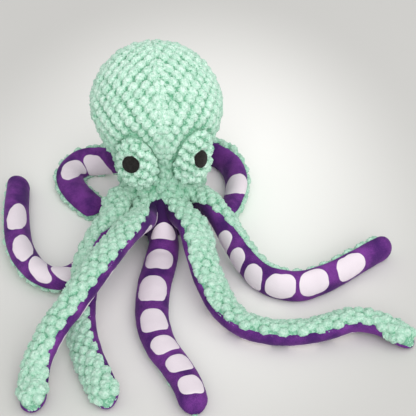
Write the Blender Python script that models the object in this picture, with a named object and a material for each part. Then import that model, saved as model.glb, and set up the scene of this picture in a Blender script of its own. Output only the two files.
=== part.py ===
"""Plush octopus with a stuffed head, two eye mounds and eight stuffed arms.

Metres, +Z up. The origin is on the floor under the middle of the base.
The face looks along -Y, turned a little towards +X.
Every arm is an inner and an outer half, hinged to the base and to each other.
Each half is a textured top cover, a smooth underside cover and a filling.
"""

import math

import bmesh
import bpy
from mathutils import Matrix, Vector

# Clearances and fabric thicknesses
GAP = 0.0003
FILLING_GAP = 0.0008
POPCORN_WALL = 0.0035
VELOUR_WALL = 0.0020
FELT_WALL = 0.0012
FLAT_DEPTH = 0.0005

# Arms: reach is the unit of the route tables
ARM_REACH = 0.250
ARM_WIDTH = 0.0275
ARM_THICKNESS = 0.0185
ARM_ROOT_WIDTH = 0.023
ARM_TIP_WIDTH = 0.0215
ARM_TIP_THICKNESS = 0.0165
SWELL_LENGTH = 0.050
ROOT_LEAD = 0.006
TIER_GAP = 0.006

# Head
DOME_RADIUS = 0.0540
HEAD_HEIGHT = 0.110
HEAD_LEAN = 0.013
HEAD_SIDEWAYS = 0.003
FACE_TURN = math.radians(8)

# Squeaker in the stuffing above the base
SQUEAKER_RADIUS = 0.017
SQUEAKER_HEIGHT = 0.018
SQUEAKER_EDGE = 0.003

# Eye mounds and felt eyes
MOUND_RADIUS = 0.0200
MOUND_OFFSET = 0.0355
MOUND_HEIGHT_SHARE = 0.291
MOUND_SPREAD = math.radians(35)
EYE_RADIUS = 0.0072
EYE_CORE_RADIUS = 0.0024
EYE_TILT_UP = math.radians(16)
EYE_TURN_IN = math.radians(12)

# Rounding of the base's lower edge
BASE_EDGE = 0.004

# Facets
ARM_HALF_STEPS = 5
HEAD_HALF_STEPS = 12
MOUND_SEGMENTS = 18
MOUND_RINGS = 12
BASE_SIDES = 40
EYE_SIDES = 20
SQUEAKER_SIDES = 20
TIP_RINGS = 2
TIP_END_SHARE = 0.5
SHARP_ANGLE = math.radians(40)
ROUTE_SAMPLES = 24

# Arms sit round the base in two tiers, this far apart where they are closest
ROOT_SPACING = math.radians(37)
ROOT_RADIUS = (ARM_ROOT_WIDTH / 2 + GAP) / math.tan(ROOT_SPACING / 2)
LOW_CENTRE = ARM_THICKNESS / 2 - FLAT_DEPTH
HIGH_CENTRE = LOW_CENTRE + ARM_THICKNESS + TIER_GAP
BASE_TOP = HIGH_CENTRE - ARM_THICKNESS / 2
NECK_Z = HIGH_CENTRE + ARM_THICKNESS / 2

MINT = (0.392, 0.815, 0.604)
PURPLE = (0.098, 0.024, 0.235)
BLACK = (0.013, 0.011, 0.010)
WHITE = (0.800, 0.790, 0.770)
PLASTIC = (0.620, 0.630, 0.640)

# Head outline: height share above the neck, radius share of the dome
HEAD_OUTLINE_SHARES = (
    (0.00, 0.650),
    (0.08, 0.685),
    (0.17, 0.735),
    (0.27, 0.815),
    (0.38, 0.915),
    (0.50, 0.990),
    (0.60, 1.000),
    (0.70, 0.965),
    (0.79, 0.880),
    (0.87, 0.750),
    (0.94, 0.550),
    (0.985, 0.290),
    (1.00, 0.120),
)

# Arms: azimuth of the root from -Y towards +X in degrees, high or low tier, roll at the root
# in degrees, place of the middle hinge as a share of the length, spans between rings of one
# half, and the way the root swings: 0 is a lifting hinge, -1 an upright hinge that swings the
# arm clockwise seen from above. A route row is x and y as shares of the reach, lift as a
# share of the thickness and roll in degrees: at 0 the textured side is up.
ARM_TABLE = {
    "arm_front": dict(
        azimuth=0, high=False, roll=180, middle_share=0.52, spans=7, swing=0,
        route_shares=(
            (0.010, -0.210, 0.00, 180),
            (0.004, -0.292, 0.00, 180),
            (-0.016, -0.448, 0.00, 180),
            (-0.012, -0.608, 0.00, 180),
            (0.020, -0.720, 0.00, 180),
            (0.062, -0.800, 0.00, 178),
            (0.097, -0.884, 0.00, 176),
            (0.120, -0.975, 0.00, 176),
        ),
    ),
    "arm_front_left": dict(
        azimuth=-18.5, high=True, roll=14, middle_share=0.50, spans=7, swing=0,
        route_shares=(
            (-0.062, -0.256, 1.74, 20),
            (-0.118, -0.424, 2.24, 26),
            (-0.182, -0.572, 2.14, 28),
            (-0.242, -0.674, 1.66, 28),
            (-0.298, -0.756, 1.12, 28),
            (-0.332, -0.816, 0.42, 26),
            (-0.340, -0.886, 0.00, 24),
            (-0.332, -0.966, 0.00, 22),
        ),
    ),
    "arm_front_right": dict(
        azimuth=18.5, high=True, roll=-14, middle_share=0.48, spans=7, swing=0,
        route_shares=(
            (0.104, -0.260, 1.40, -22),
            (0.130, -0.370, 0.98, -28),
            (0.160, -0.468, 0.46, -30),
            (0.196, -0.548, 0.14, -30),
            (0.252, -0.614, 0.00, -28),
            (0.332, -0.652, 0.00, -26),
            (0.412, -0.656, 0.00, -26),
            (0.496, -0.640, 0.05, -26),
            (0.580, -0.610, 0.15, -24),
            (0.660, -0.620, 0.12, -22),
            (0.720, -0.656, 0.00, -22),
            (0.756, -0.692, 0.00, -22),
        ),
    ),
    "arm_left": dict(
        azimuth=-56, high=True, roll=20, middle_share=0.74, spans=8, swing=-1,
        route_shares=(
            (-0.148, -0.196, 1.34, 34),
            (-0.184, -0.312, 1.30, 38),
            (-0.210, -0.420, 1.24, 40),
            (-0.222, -0.512, 0.74, 42),
            (-0.226, -0.590, 0.22, 42),
            (-0.218, -0.668, 0.00, 42),
            (-0.190, -0.772, 0.00, 40),
            (-0.154, -0.864, 0.00, 38),
            (-0.120, -0.952, 0.00, 36),
        ),
    ),
    "arm_right": dict(
        azimuth=56, high=True, roll=-50, middle_share=0.50, spans=7, swing=0,
        route_shares=(
            (0.186, -0.180, 1.00, -76),
            (0.228, -0.252, 0.56, -92),
            (0.272, -0.332, 0.18, -98),
            (0.322, -0.402, 0.00, -100),
            (0.376, -0.440, 0.00, -100),
            (0.436, -0.448, 0.00, -100),
            (0.500, -0.420, 0.00, -100),
            (0.600, -0.340, 0.00, -100),
            (0.688, -0.262, 0.00, -100),
            (0.740, -0.222, 0.00, -100),
        ),
    ),
    "arm_far_left": dict(
        azimuth=-48, high=False, roll=-180, middle_share=0.50, spans=9, swing=-1,
        route_shares=(
            (-0.150, -0.160, 0.00, -180),
            (-0.188, -0.252, 0.00, -178),
            (-0.226, -0.336, 0.00, -174),
            (-0.278, -0.390, 0.00, -168),
            (-0.342, -0.392, 0.00, -160),
            (-0.408, -0.330, 0.00, -150),
            (-0.454, -0.230, 0.00, -144),
            (-0.482, -0.090, 0.00, -140),
            (-0.496, 0.048, 0.00, -136),
            (-0.502, 0.160, 0.00, -134),
        ),
    ),
    "arm_back_left": dict(
        azimuth=-140, high=True, roll=30, middle_share=0.52, spans=9, swing=0,
        route_shares=(
            (-0.120, 0.160, 0.95, 50),
            (-0.166, 0.212, 0.45, 80),
            (-0.228, 0.256, 0.10, 110),
            (-0.294, 0.254, 0.00, 140),
            (-0.330, 0.194, 0.00, 165),
            (-0.314, 0.112, 0.00, 190),
            (-0.262, 0.028, 0.00, 205),
            (-0.208, -0.036, 0.00, 210),
        ),
    ),
    "arm_back_right": dict(
        azimuth=140, high=True, roll=-30, middle_share=0.52, spans=9, swing=0,
        route_shares=(
            (0.086, 0.210, 0.90, -60),
            (0.108, 0.296, 0.30, -85),
            (0.162, 0.326, 0.00, -100),
            (0.218, 0.276, 0.00, -112),
            (0.248, 0.184, 0.00, -122),
            (0.250, 0.088, 0.00, -130),
            (0.232, 0.000, 0.00, -134),
            (0.206, -0.076, 0.00, -134),
        ),
    ),
}


def clear_scene():
    for obj in list(bpy.data.objects):
        bpy.data.objects.remove(obj, do_unlink=True)


def new_collection(name):
    collection = bpy.data.collections.new(name)
    bpy.context.scene.collection.children.link(collection)
    return collection


def new_material(name, colour, roughness):
    material = bpy.data.materials.new(name)
    material.use_nodes = True
    shader = material.node_tree.nodes["Principled BSDF"]
    shader.inputs["Base Color"].default_value = (*colour, 1.0)
    shader.inputs["Roughness"].default_value = roughness
    shader.inputs["Metallic"].default_value = 0.0
    return material


def new_empty(name, place, parent, collection):
    empty = bpy.data.objects.new(name, None)
    collection.objects.link(empty)
    empty.parent = parent
    empty.location = place - (parent.matrix_world.translation if parent else Vector())
    bpy.context.view_layer.update()
    return empty


def object_from(bm, name, material, parent, collection):
    """Turns a bmesh in world places into an object under its parent empty."""
    bmesh.ops.recalc_face_normals(bm, faces=bm.faces)
    origin = parent.matrix_world.translation
    bmesh.ops.translate(bm, verts=bm.verts, vec=-origin)
    mesh = bpy.data.meshes.new(name)
    bm.to_mesh(mesh)
    bm.free()
    mesh.shade_smooth()
    mesh.set_sharp_from_angle(angle=SHARP_ANGLE)
    mesh.materials.append(material)
    obj = bpy.data.objects.new(name, mesh)
    obj.parent = parent
    collection.objects.link(obj)
    return obj


def cutter_from(bm, name, collection):
    bmesh.ops.recalc_face_normals(bm, faces=bm.faces)
    mesh = bpy.data.meshes.new(name)
    bm.to_mesh(mesh)
    bm.free()
    obj = bpy.data.objects.new(name, mesh)
    obj.hide_render = True
    obj.display_type = "WIRE"
    collection.objects.link(obj)
    return obj


def cut(obj, cutter):
    modifier = obj.modifiers.new(cutter.name, "BOOLEAN")
    modifier.object = cutter
    modifier.solver = "EXACT"


def add_ring(bm, points):
    return [bm.verts.new(point) for point in points]


def bridge(bm, ring, following, closed=True):
    """Faces between two rings that have as many points."""
    count = len(ring) if closed else len(ring) - 1
    for i in range(count):
        j = (i + 1) % len(ring)
        bm.faces.new((ring[i], ring[j], following[j], following[i]))


def loft(rings):
    """A closed solid through whole rings, flat at both ends."""
    bm = bmesh.new()
    made = [add_ring(bm, ring) for ring in rings]
    for ring, following in zip(made, made[1:]):
        bridge(bm, ring, following)
    bm.faces.new(made[0])
    bm.faces.new(made[-1])
    return bm


def half_shell(outer, inner, closed_end):
    """Half of a tube's wall: two lofted half rings, joined along the seam and at the ends."""
    bm = bmesh.new()
    outer_rings = [add_ring(bm, ring) for ring in outer]
    inner_rings = [add_ring(bm, ring) for ring in inner]
    loops = [out + inn[::-1] for out, inn in zip(outer_rings, inner_rings)]
    for loop, following in zip(loops, loops[1:]):
        bridge(bm, loop, following)
    bridge(bm, outer_rings[0], inner_rings[0], closed=False)
    if closed_end:
        last = outer_rings[-1]
        last_inner = inner_rings[-1]
        bm.faces.new(last)
        bm.faces.new(last_inner)
        bm.faces.new((last[0], last[-1], last_inner[-1], last_inner[0]))
    else:
        bridge(bm, outer_rings[-1], inner_rings[-1], closed=False)
    return bm


def table_value(rows, place):
    """Straight-line reading of a table of (place, value) rows."""
    for (start, low), (end, high) in zip(rows, rows[1:]):
        if place <= end:
            return low + (high - low) * (place - start) / (end - start)
    return rows[-1][1]


# Arms

def arm_root(row):
    """Middle of the root section and its outward direction."""
    azimuth = math.radians(row["azimuth"])
    out = Vector((math.sin(azimuth), -math.cos(azimuth), 0))
    height = HIGH_CENTRE if row["high"] else LOW_CENTRE
    return out * ROOT_RADIUS + Vector((0, 0, height)), out


def arm_half_size(distance, length):
    """Half width and half thickness of an arm's section, rounded off at the tip."""
    swell = min(distance / SWELL_LENGTH, 1)
    swell = swell * swell * (3 - 2 * swell)
    taper = distance / length
    wide = ARM_ROOT_WIDTH + (ARM_WIDTH - ARM_ROOT_WIDTH) * swell
    wide += (ARM_TIP_WIDTH - ARM_WIDTH) * taper * taper * swell
    thick = ARM_THICKNESS + (ARM_TIP_THICKNESS - ARM_THICKNESS) * taper * taper
    into_tip = distance - (length - wide / 2)
    rounding = 1
    if into_tip > 0:
        rounding = math.sqrt(max(1 - (into_tip / (wide / 2)) ** 2, 0))
    return wide / 2 * rounding, thick / 2 * rounding


def half_angles(steps):
    return [math.pi * i / steps for i in range(steps + 1)]


def support(half_wide, half_thick, roll):
    """Height of a rolled section's highest corner over its middle."""
    angles = half_angles(2 * ARM_HALF_STEPS)[::2]
    heights = []
    for angle in angles:
        across = half_wide * math.cos(angle)
        over = half_thick * math.sin(angle)
        heights.append(abs(over * math.cos(roll) + across * math.sin(roll)))
        heights.append(abs(over * math.cos(roll) - across * math.sin(roll)))
    return max(heights)


def catmull_rom(points, samples):
    """Smooth curve from the second row on, with knots spaced by the distances in plan."""
    last = [2 * a - b for a, b in zip(points[-1], points[-2])]
    rows = points + [last]
    knots = [0]
    for row, following in zip(rows, rows[1:]):
        step = math.hypot(following[0] - row[0], following[1] - row[1])
        knots.append(knots[-1] + math.sqrt(step))
    curve = []
    for i in range(1, len(rows) - 2):
        p0, p1, p2, p3 = rows[i - 1:i + 3]
        t0, t1, t2, t3 = knots[i - 1:i + 3]
        for step in range(samples):
            t = t1 + (t2 - t1) * step / samples
            values = []
            for a0, a1, a2, a3 in zip(p0, p1, p2, p3):
                b1 = ((t1 - t) * a0 + (t - t0) * a1) / (t1 - t0)
                b2 = ((t2 - t) * a1 + (t - t1) * a2) / (t2 - t1)
                b3 = ((t3 - t) * a2 + (t - t2) * a3) / (t3 - t2)
                c1 = ((t2 - t) * b1 + (t - t0) * b2) / (t2 - t0)
                c2 = ((t3 - t) * b2 + (t - t1) * b3) / (t3 - t1)
                values.append(((t2 - t) * c1 + (t - t1) * c2) / (t2 - t1))
            curve.append(values)
    curve.append(list(points[-1]))
    return curve


def arm_path(row):
    """Samples (distance, centre, roll) along an arm, from its root to its tip."""
    root, out = arm_root(row)
    lead = root + out * ROOT_LEAD
    root_lift = root.z + FLAT_DEPTH - support(ARM_ROOT_WIDTH / 2, ARM_THICKNESS / 2, 0)
    rows = [
        [root.x, root.y, root_lift, row["roll"]],
        [lead.x, lead.y, root_lift, row["roll"]],
    ]
    for x_share, y_share, lift_share, roll in row["route_shares"]:
        rows.append([x_share * ARM_REACH, y_share * ARM_REACH, lift_share * ARM_THICKNESS, roll])
    curve = rows[:1] + catmull_rom(rows, ROUTE_SAMPLES)
    flat_length = 0
    distances = [0]
    for sample, following in zip(curve, curve[1:]):
        flat_length += math.dist(sample[:3], following[:3])
        distances.append(flat_length)
    path = []
    for distance, (x, y, lift, roll) in zip(distances, curve):
        roll = math.radians(roll)
        body = min(distance, flat_length - ARM_WIDTH / 2)
        half_wide, half_thick = arm_half_size(body, flat_length)
        height = lift + support(half_wide, half_thick, roll) - FLAT_DEPTH
        if distance < SWELL_LENGTH:
            share = max(distance - ROOT_LEAD, 0) / (SWELL_LENGTH - ROOT_LEAD)
            height = root.z + (height - root.z) * share * share * (3 - 2 * share)
        path.append((Vector((x, y, height)), roll))
    length = 0
    samples = [(0, path[0][0], path[0][1])]
    for (centre, roll), (following, next_roll) in zip(path, path[1:]):
        length += (following - centre).length
        samples.append((length, following, next_roll))
    return samples


def path_frame(path, distance):
    """Centre, direction, up side and left side of the section at a distance."""
    for (start, centre, roll), (end, following, next_roll) in zip(path, path[1:]):
        if distance <= end or end == path[-1][0]:
            share = (distance - start) / (end - start)
            place = centre.lerp(following, share)
            turn = roll + (next_roll - roll) * share
            break
    ahead = path_point(path, distance + ROOT_LEAD / 2)
    behind = path_point(path, distance - ROOT_LEAD / 2)
    along = (ahead - behind).normalized()
    level = along.cross(Vector((0, 0, 1))).normalized()
    up = level.cross(along)
    spin = Matrix.Rotation(turn, 3, along)
    return place, along, spin @ up, spin @ level


def path_point(path, distance):
    distance = min(max(distance, 0), path[-1][0])
    for (start, centre, _), (end, following, _) in zip(path, path[1:]):
        if distance <= end:
            return centre.lerp(following, (distance - start) / (end - start))
    return path[-1][1]


def on_floor(point):
    return Vector((point.x, point.y, max(point.z, 0)))


def arm_half_ring(path, distance, length, side, wall):
    """Half ring of an arm's cover; side is 1 for the top and -1 for the underside."""
    place, _, up, level = path_frame(path, distance)
    half_wide, half_thick = arm_half_size(distance, length)
    half_wide = max(half_wide - wall, GAP)
    half_thick = max(half_thick - wall, GAP)
    points = []
    for angle in half_angles(ARM_HALF_STEPS):
        across = half_wide * math.cos(angle)
        over = side * (half_thick * math.sin(angle) + GAP / 2)
        points.append(on_floor(place + level * across + up * over))
    return points


def arm_filling_ring(path, distance, length):
    place, _, up, level = path_frame(path, distance)
    half_wide, half_thick = arm_half_size(distance, length)
    half_wide -= POPCORN_WALL + FILLING_GAP
    over_top = half_thick - POPCORN_WALL - FILLING_GAP
    under = half_thick - VELOUR_WALL - FILLING_GAP
    points = []
    for step in range(2 * ARM_HALF_STEPS):
        angle = math.pi * step / ARM_HALF_STEPS
        over = math.sin(angle) * (over_top if step <= ARM_HALF_STEPS else under)
        points.append(place + level * half_wide * math.cos(angle) + up * over)
    return points


def stations(start, end, spans, into_tip):
    """Ring distances; towards a tip they close up into its rounding."""
    if not into_tip:
        return [start + (end - start) * i / spans for i in range(spans + 1)]
    radius = ARM_TIP_WIDTH / 2
    body = [start + (end - radius - start) * i / spans for i in range(spans + 1)]
    turns = [math.pi / 2 * (i + 1) / (TIP_RINGS + TIP_END_SHARE) for i in range(TIP_RINGS)]
    closing = [end - radius * (1 - math.sin(turn)) for turn in turns]
    return body + closing


def hinge_point(path, distance, length):
    """Top of the section at a joint, with its level axis that lifts what is beyond."""
    place, along, up, level = path_frame(path, distance)
    half_wide, half_thick = arm_half_size(distance, length)
    axis = along.cross(Vector((0, 0, 1))).normalized()
    rise = axis.cross(along)
    top = 0
    for angle in half_angles(ARM_HALF_STEPS):
        for side in (1, -1):
            corner = level * half_wide * math.cos(angle) + up * side * half_thick * math.sin(angle)
            top = max(top, corner.dot(rise))
    return place + rise * top, axis


def swing_point(path, distance, length, swing):
    """Side of the section that a joint swings towards, with its upright axis."""
    place, along, up, level = path_frame(path, distance)
    half_wide, half_thick = arm_half_size(distance, length)
    axis = Vector((0, 0, swing))
    sideways = axis.cross(along).normalized()
    far = 0
    for angle in half_angles(ARM_HALF_STEPS):
        for side in (1, -1):
            corner = level * half_wide * math.cos(angle) + up * side * half_thick * math.sin(angle)
            far = max(far, corner.dot(sideways))
    return place + sideways * far, axis


def arm_joints(row):
    """Root and middle hinge of an arm, each a point and an axis."""
    path = arm_path(row)
    length = path[-1][0]
    if row["swing"]:
        root = swing_point(path, 0, length, row["swing"])
    else:
        root = hinge_point(path, 0, length)
    return root, hinge_point(path, row["middle_share"] * length, length)


def build_arm(name, row, materials, parts, body):
    path = arm_path(row)
    length = path[-1][0]
    middle = row["middle_share"] * length
    joints = arm_joints(row)
    root_empty = new_empty(name + "_root_hinge", joints[0][0], body, parts)
    middle_empty = new_empty(name + "_middle_hinge", joints[1][0], root_empty, parts)
    halves = (
        ("inner", root_empty, 0, middle - GAP / 2, False),
        ("outer", middle_empty, middle + GAP / 2, length, True),
    )
    for half, empty, start, end, tip in halves:
        outer_places = stations(start, end, row["spans"], tip)
        for side, wall, label in ((1, POPCORN_WALL, "top"), (-1, VELOUR_WALL, "under")):
            inner_places = stations(start, end - wall, row["spans"], True) if tip else outer_places
            outer = [arm_half_ring(path, at, length, side, 0) for at in outer_places]
            inner = [arm_half_ring(path, at, length, side, wall) for at in inner_places]
            bm = half_shell(outer, inner, tip)
            object_from(bm, "_".join((name, half, label)), materials[label], empty, parts)
        last = end - POPCORN_WALL - FILLING_GAP
        filling_places = stations(start, last, row["spans"], True) if tip else outer_places
        rings = [arm_filling_ring(path, at, length) for at in filling_places]
        if tip:
            rings = rings[:-1]
        object_from(loft(rings), "_".join((name, half, "filling")), materials["filling"], empty, parts)


# Head

def head_axis_point(share):
    """Middle of the head's section: it leans back above the neck."""
    sway = math.sin(math.pi / 2 * max(share, 0))
    return Vector((-HEAD_SIDEWAYS * sway, HEAD_LEAN * sway, NECK_Z + HEAD_HEIGHT * share))


def head_radius(share):
    return DOME_RADIUS * table_value(HEAD_OUTLINE_SHARES, share)


def face_frame():
    """Forward and rightward directions of the face."""
    forward = Vector((math.sin(FACE_TURN), -math.cos(FACE_TURN), 0))
    right = Vector((math.cos(FACE_TURN), math.sin(FACE_TURN), 0))
    return forward, right


def neck_radius(direction):
    """Radius of the neck and the base, which have a flat face for each arm root."""
    radius = ROOT_RADIUS
    for row in ARM_TABLE.values():
        turn = direction.dot(arm_root(row)[1])
        if turn > 0:
            radius = min(radius, (ROOT_RADIUS - GAP) / turn)
    return radius


def neck_ring(height, inset, side):
    """Half ring of the neck below the head, for a head panel."""
    forward, right = face_frame()
    points = []
    for angle in half_angles(HEAD_HALF_STEPS):
        direction = forward * math.cos(angle) + right * side * math.sin(angle)
        point = direction * (neck_radius(direction) - inset) + right * side * GAP / 2
        points.append(point + Vector((0, 0, height)))
    return points


def head_half_ring(share, side, offset):
    """Half ring of a head panel; side is 1 for the right panel and -1 for the left."""
    forward, right = face_frame()
    centre = head_axis_point(share)
    radius = max(head_radius(share) + offset, GAP)
    points = []
    for angle in half_angles(HEAD_HALF_STEPS):
        across = side * (radius * math.sin(angle) + GAP / 2)
        points.append(centre + forward * radius * math.cos(angle) + right * across)
    return points


def head_full_ring(share, offset):
    forward, right = face_frame()
    centre = head_axis_point(share)
    radius = head_radius(share) + offset
    points = []
    for step in range(2 * HEAD_HALF_STEPS):
        angle = math.pi * step / HEAD_HALF_STEPS
        points.append(centre + forward * radius * math.cos(angle) + right * radius * math.sin(angle))
    return points


def neck_full_ring(height, inset):
    near = neck_ring(height, inset, 1)
    far = neck_ring(height, inset, -1)
    return near + far[-2:0:-1]


def head_inner_share(share, wall):
    """The inside's sections are the outline's, drawn down from the crown by the wall."""
    return share * (HEAD_HEIGHT - wall) / HEAD_HEIGHT


def build_head(materials, parts, cutters, body):
    shares = [share for share, _ in HEAD_OUTLINE_SHARES]
    for side, label in ((-1, "left"), (1, "right")):
        outer = [head_half_ring(share, side, 0) for share in shares]
        inner = [head_half_ring(head_inner_share(share, POPCORN_WALL), side, -POPCORN_WALL)
                 for share in shares]
        for ring_set, inset in ((outer, 0), (inner, POPCORN_WALL)):
            ring_set[0] = neck_ring(NECK_Z, inset, side)
            ring_set.insert(0, neck_ring(BASE_TOP + GAP, inset, side))
        bm = half_shell(outer, inner, True)
        object_from(bm, "head_%s_panel" % label, materials["top"], body, parts)
    inset = POPCORN_WALL + GAP
    rings = [head_full_ring(head_inner_share(share, inset), -inset) for share in shares[:-1]]
    rings[0] = neck_full_ring(NECK_Z, inset)
    rings.insert(0, neck_full_ring(BASE_TOP + GAP, inset))
    filling = object_from(loft(rings), "head_filling", materials["filling"], body, parts)
    pocket = bmesh.new()
    bmesh.ops.create_cone(
        pocket, cap_ends=True, segments=BASE_SIDES,
        radius1=SQUEAKER_RADIUS + GAP, radius2=SQUEAKER_RADIUS + GAP,
        depth=2 * (SQUEAKER_HEIGHT + 2 * GAP))
    bmesh.ops.translate(pocket, verts=pocket.verts, vec=Vector((0, 0, BASE_TOP)))
    cut(filling, cutter_from(pocket, "squeaker_pocket_cutter", cutters))
    build_squeaker(materials, parts, body)


def build_squeaker(materials, parts, body):
    floor = BASE_TOP + GAP
    edge = SQUEAKER_EDGE
    outline = (
        (SQUEAKER_RADIUS - edge, 0),
        (SQUEAKER_RADIUS, edge),
        (SQUEAKER_RADIUS, SQUEAKER_HEIGHT - edge),
        (SQUEAKER_RADIUS - edge, SQUEAKER_HEIGHT),
    )
    rings = [squeaker_ring(radius, floor + rise) for radius, rise in outline]
    object_from(loft(rings), "squeaker", materials["plastic"], body, parts)


def squeaker_ring(radius, height):
    points = []
    for step in range(SQUEAKER_SIDES):
        angle = 2 * math.pi * step / SQUEAKER_SIDES
        points.append(Vector((radius * math.cos(angle), radius * math.sin(angle), height)))
    return points


# Base

def base_ring(inset, height):
    """Section of the base: round, with a flat face for each arm root."""
    points = []
    for step in range(BASE_SIDES):
        angle = 2 * math.pi * step / BASE_SIDES
        direction = Vector((math.sin(angle), -math.cos(angle), 0))
        points.append(direction * (neck_radius(direction) - inset) + Vector((0, 0, height)))
    return points


def build_base(materials, parts, body):
    top = BASE_TOP
    rings = [
        base_ring(BASE_EDGE, 0),
        base_ring(BASE_EDGE * (1 - math.cos(math.pi / 4)), BASE_EDGE * (1 - math.sin(math.pi / 4))),
        base_ring(0, BASE_EDGE),
        base_ring(0, top),
        base_ring(VELOUR_WALL, top),
        base_ring(VELOUR_WALL, BASE_EDGE),
        base_ring(BASE_EDGE, VELOUR_WALL),
    ]
    object_from(loft(rings), "base_cover", materials["under"], body, parts)
    inset = VELOUR_WALL + GAP
    filling = [
        base_ring(BASE_EDGE + 2 * GAP, inset),
        base_ring(inset, BASE_EDGE + GAP),
        base_ring(inset, top),
    ]
    object_from(loft(filling), "base_filling", materials["filling"], body, parts)


# Eyes

def mound_place(side):
    """Middle of an eye mound's ball and the direction that its eye looks."""
    forward, right = face_frame()
    centre = head_axis_point(MOUND_HEIGHT_SHARE)
    out = forward * math.cos(MOUND_SPREAD) + right * side * math.sin(MOUND_SPREAD)
    place = centre + out * MOUND_OFFSET
    spread = MOUND_SPREAD - EYE_TURN_IN
    level = forward * math.cos(spread) + right * side * math.sin(spread)
    look = level * math.cos(EYE_TILT_UP) + Vector((0, 0, math.sin(EYE_TILT_UP)))
    return place, look


def ball(radius, place, look):
    bm = bmesh.new()
    bmesh.ops.create_uvsphere(bm, u_segments=MOUND_SEGMENTS, v_segments=MOUND_RINGS, radius=radius)
    turn = look.to_track_quat("Z", "Y").to_matrix()
    bmesh.ops.rotate(bm, verts=bm.verts, cent=Vector(), matrix=turn)
    bmesh.ops.translate(bm, verts=bm.verts, vec=place)
    return bm


def eye_solid(place, look):
    """Felt disc that follows the mound's front."""
    turn = look.to_track_quat("Z", "Y").to_matrix()
    back = MOUND_RADIUS + GAP
    front = back + FELT_WALL
    reach = math.asin(EYE_RADIUS / front)
    half_reach = reach / 2

    def ring(radius, angle):
        points = []
        for step in range(EYE_SIDES):
            around = 2 * math.pi * step / EYE_SIDES
            flat = radius * math.sin(angle)
            points.append(place + turn @ Vector((flat * math.cos(around), flat * math.sin(around),
                                                 radius * math.cos(angle))))
        return points

    inner_angle = math.asin(EYE_CORE_RADIUS / front)
    rings = [ring(back, inner_angle), ring(back, half_reach), ring(back, reach)]
    rings += [ring(front, reach), ring(front, half_reach), ring(front, inner_angle)]
    return loft(rings)


def build_eyes(materials, parts, cutters, body):
    shares = [share for share, _ in HEAD_OUTLINE_SHARES]
    form = loft([head_full_ring(share, GAP) for share in shares])
    head_form = cutter_from(form, "head_form_cutter", cutters)
    for side, label in ((-1, "left"), (1, "right")):
        place, look = mound_place(side)
        cover = object_from(ball(MOUND_RADIUS, place, look), "eye_mound_%s" % label,
                            materials["top"], body, parts)
        hollow = cutter_from(ball(MOUND_RADIUS - POPCORN_WALL, place, look),
                             "mound_hollow_cutter_%s" % label, cutters)
        cut(cover, hollow)
        cut(cover, head_form)
        filling = object_from(ball(MOUND_RADIUS - POPCORN_WALL - GAP, place, look),
                              "eye_mound_filling_%s" % label, materials["filling"], body, parts)
        cut(filling, head_form)
        object_from(eye_solid(place, look), "eye_%s" % label, materials["felt"], body, parts)


def main():
    clear_scene()
    parts = new_collection("plush_octopus")
    cutters = new_collection("cutters")
    materials = {
        "top": new_material("mint_popcorn_plush", MINT, 0.95),
        "under": new_material("purple_velour", PURPLE, 0.90),
        "felt": new_material("black_felt", BLACK, 0.95),
        "filling": new_material("white_fibre_filling", WHITE, 1.00),
        "plastic": new_material("squeaker_plastic", PLASTIC, 0.45),
    }
    body = new_empty("body", Vector(), None, parts)
    build_base(materials, parts, body)
    build_head(materials, parts, cutters, body)
    build_eyes(materials, parts, cutters, body)
    for name, row in ARM_TABLE.items():
        build_arm(name, row, materials, parts, body)


if __name__ == "__main__":
    main()
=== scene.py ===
"""Looks of a plush octopus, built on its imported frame.

The head, the eye mounds and one side of every arm are lumpy mint plush. The other side of
the arms is purple velour with pale printed suckers, and the eyes are black felt.
Metres, +Z up, the floor at zero, every piece in the place of the frame's own nodes.
"""

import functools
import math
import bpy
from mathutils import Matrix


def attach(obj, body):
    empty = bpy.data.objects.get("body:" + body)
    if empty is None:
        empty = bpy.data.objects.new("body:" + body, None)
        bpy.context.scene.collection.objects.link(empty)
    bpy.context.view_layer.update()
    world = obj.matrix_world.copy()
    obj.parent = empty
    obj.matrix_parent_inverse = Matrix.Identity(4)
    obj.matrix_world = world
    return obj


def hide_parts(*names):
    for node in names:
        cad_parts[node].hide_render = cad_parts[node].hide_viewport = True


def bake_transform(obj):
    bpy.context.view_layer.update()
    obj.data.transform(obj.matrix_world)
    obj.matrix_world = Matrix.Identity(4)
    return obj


bl_info = {
    "name": "Plush octopus looks",
    "version": (1, 0, 0),
    "blender": (4, 5, 0),
    "location": "3D View > Sidebar > Octopus",
    "description": "Lumpy plush, printed velour and felt for a stuffed octopus on its packed frame",
    "category": "Object",
}

import bmesh
import bpy
import numpy as np
from bpy.props import FloatProperty, FloatVectorProperty, IntProperty, PointerProperty
from mathutils import Vector

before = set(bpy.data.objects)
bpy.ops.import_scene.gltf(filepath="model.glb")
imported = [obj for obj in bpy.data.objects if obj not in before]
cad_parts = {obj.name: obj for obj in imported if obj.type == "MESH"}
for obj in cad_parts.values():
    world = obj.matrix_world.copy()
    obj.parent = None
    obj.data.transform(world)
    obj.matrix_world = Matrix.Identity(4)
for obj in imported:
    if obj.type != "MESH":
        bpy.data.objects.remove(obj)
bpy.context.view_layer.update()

# Arms, as in the frame: reach is the unit of the route tables
GAP = 0.0003
FLAT_DEPTH = 0.0005
ARM_REACH = 0.250
ARM_WIDTH = 0.0275
ARM_THICKNESS = 0.0185
ARM_ROOT_WIDTH = 0.023
ARM_TIP_WIDTH = 0.0215
ARM_TIP_THICKNESS = 0.0165
SWELL_LENGTH = 0.050
ROOT_LEAD = 0.006
TIER_GAP = 0.006
ARM_HALF_STEPS = 5
ROUTE_SAMPLES = 24
ROOT_SPACING = math.radians(37)
ROOT_RADIUS = (ARM_ROOT_WIDTH / 2 + GAP) / math.tan(ROOT_SPACING / 2)
LOW_CENTRE = ARM_THICKNESS / 2 - FLAT_DEPTH
HIGH_CENTRE = LOW_CENTRE + ARM_THICKNESS + TIER_GAP
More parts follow.
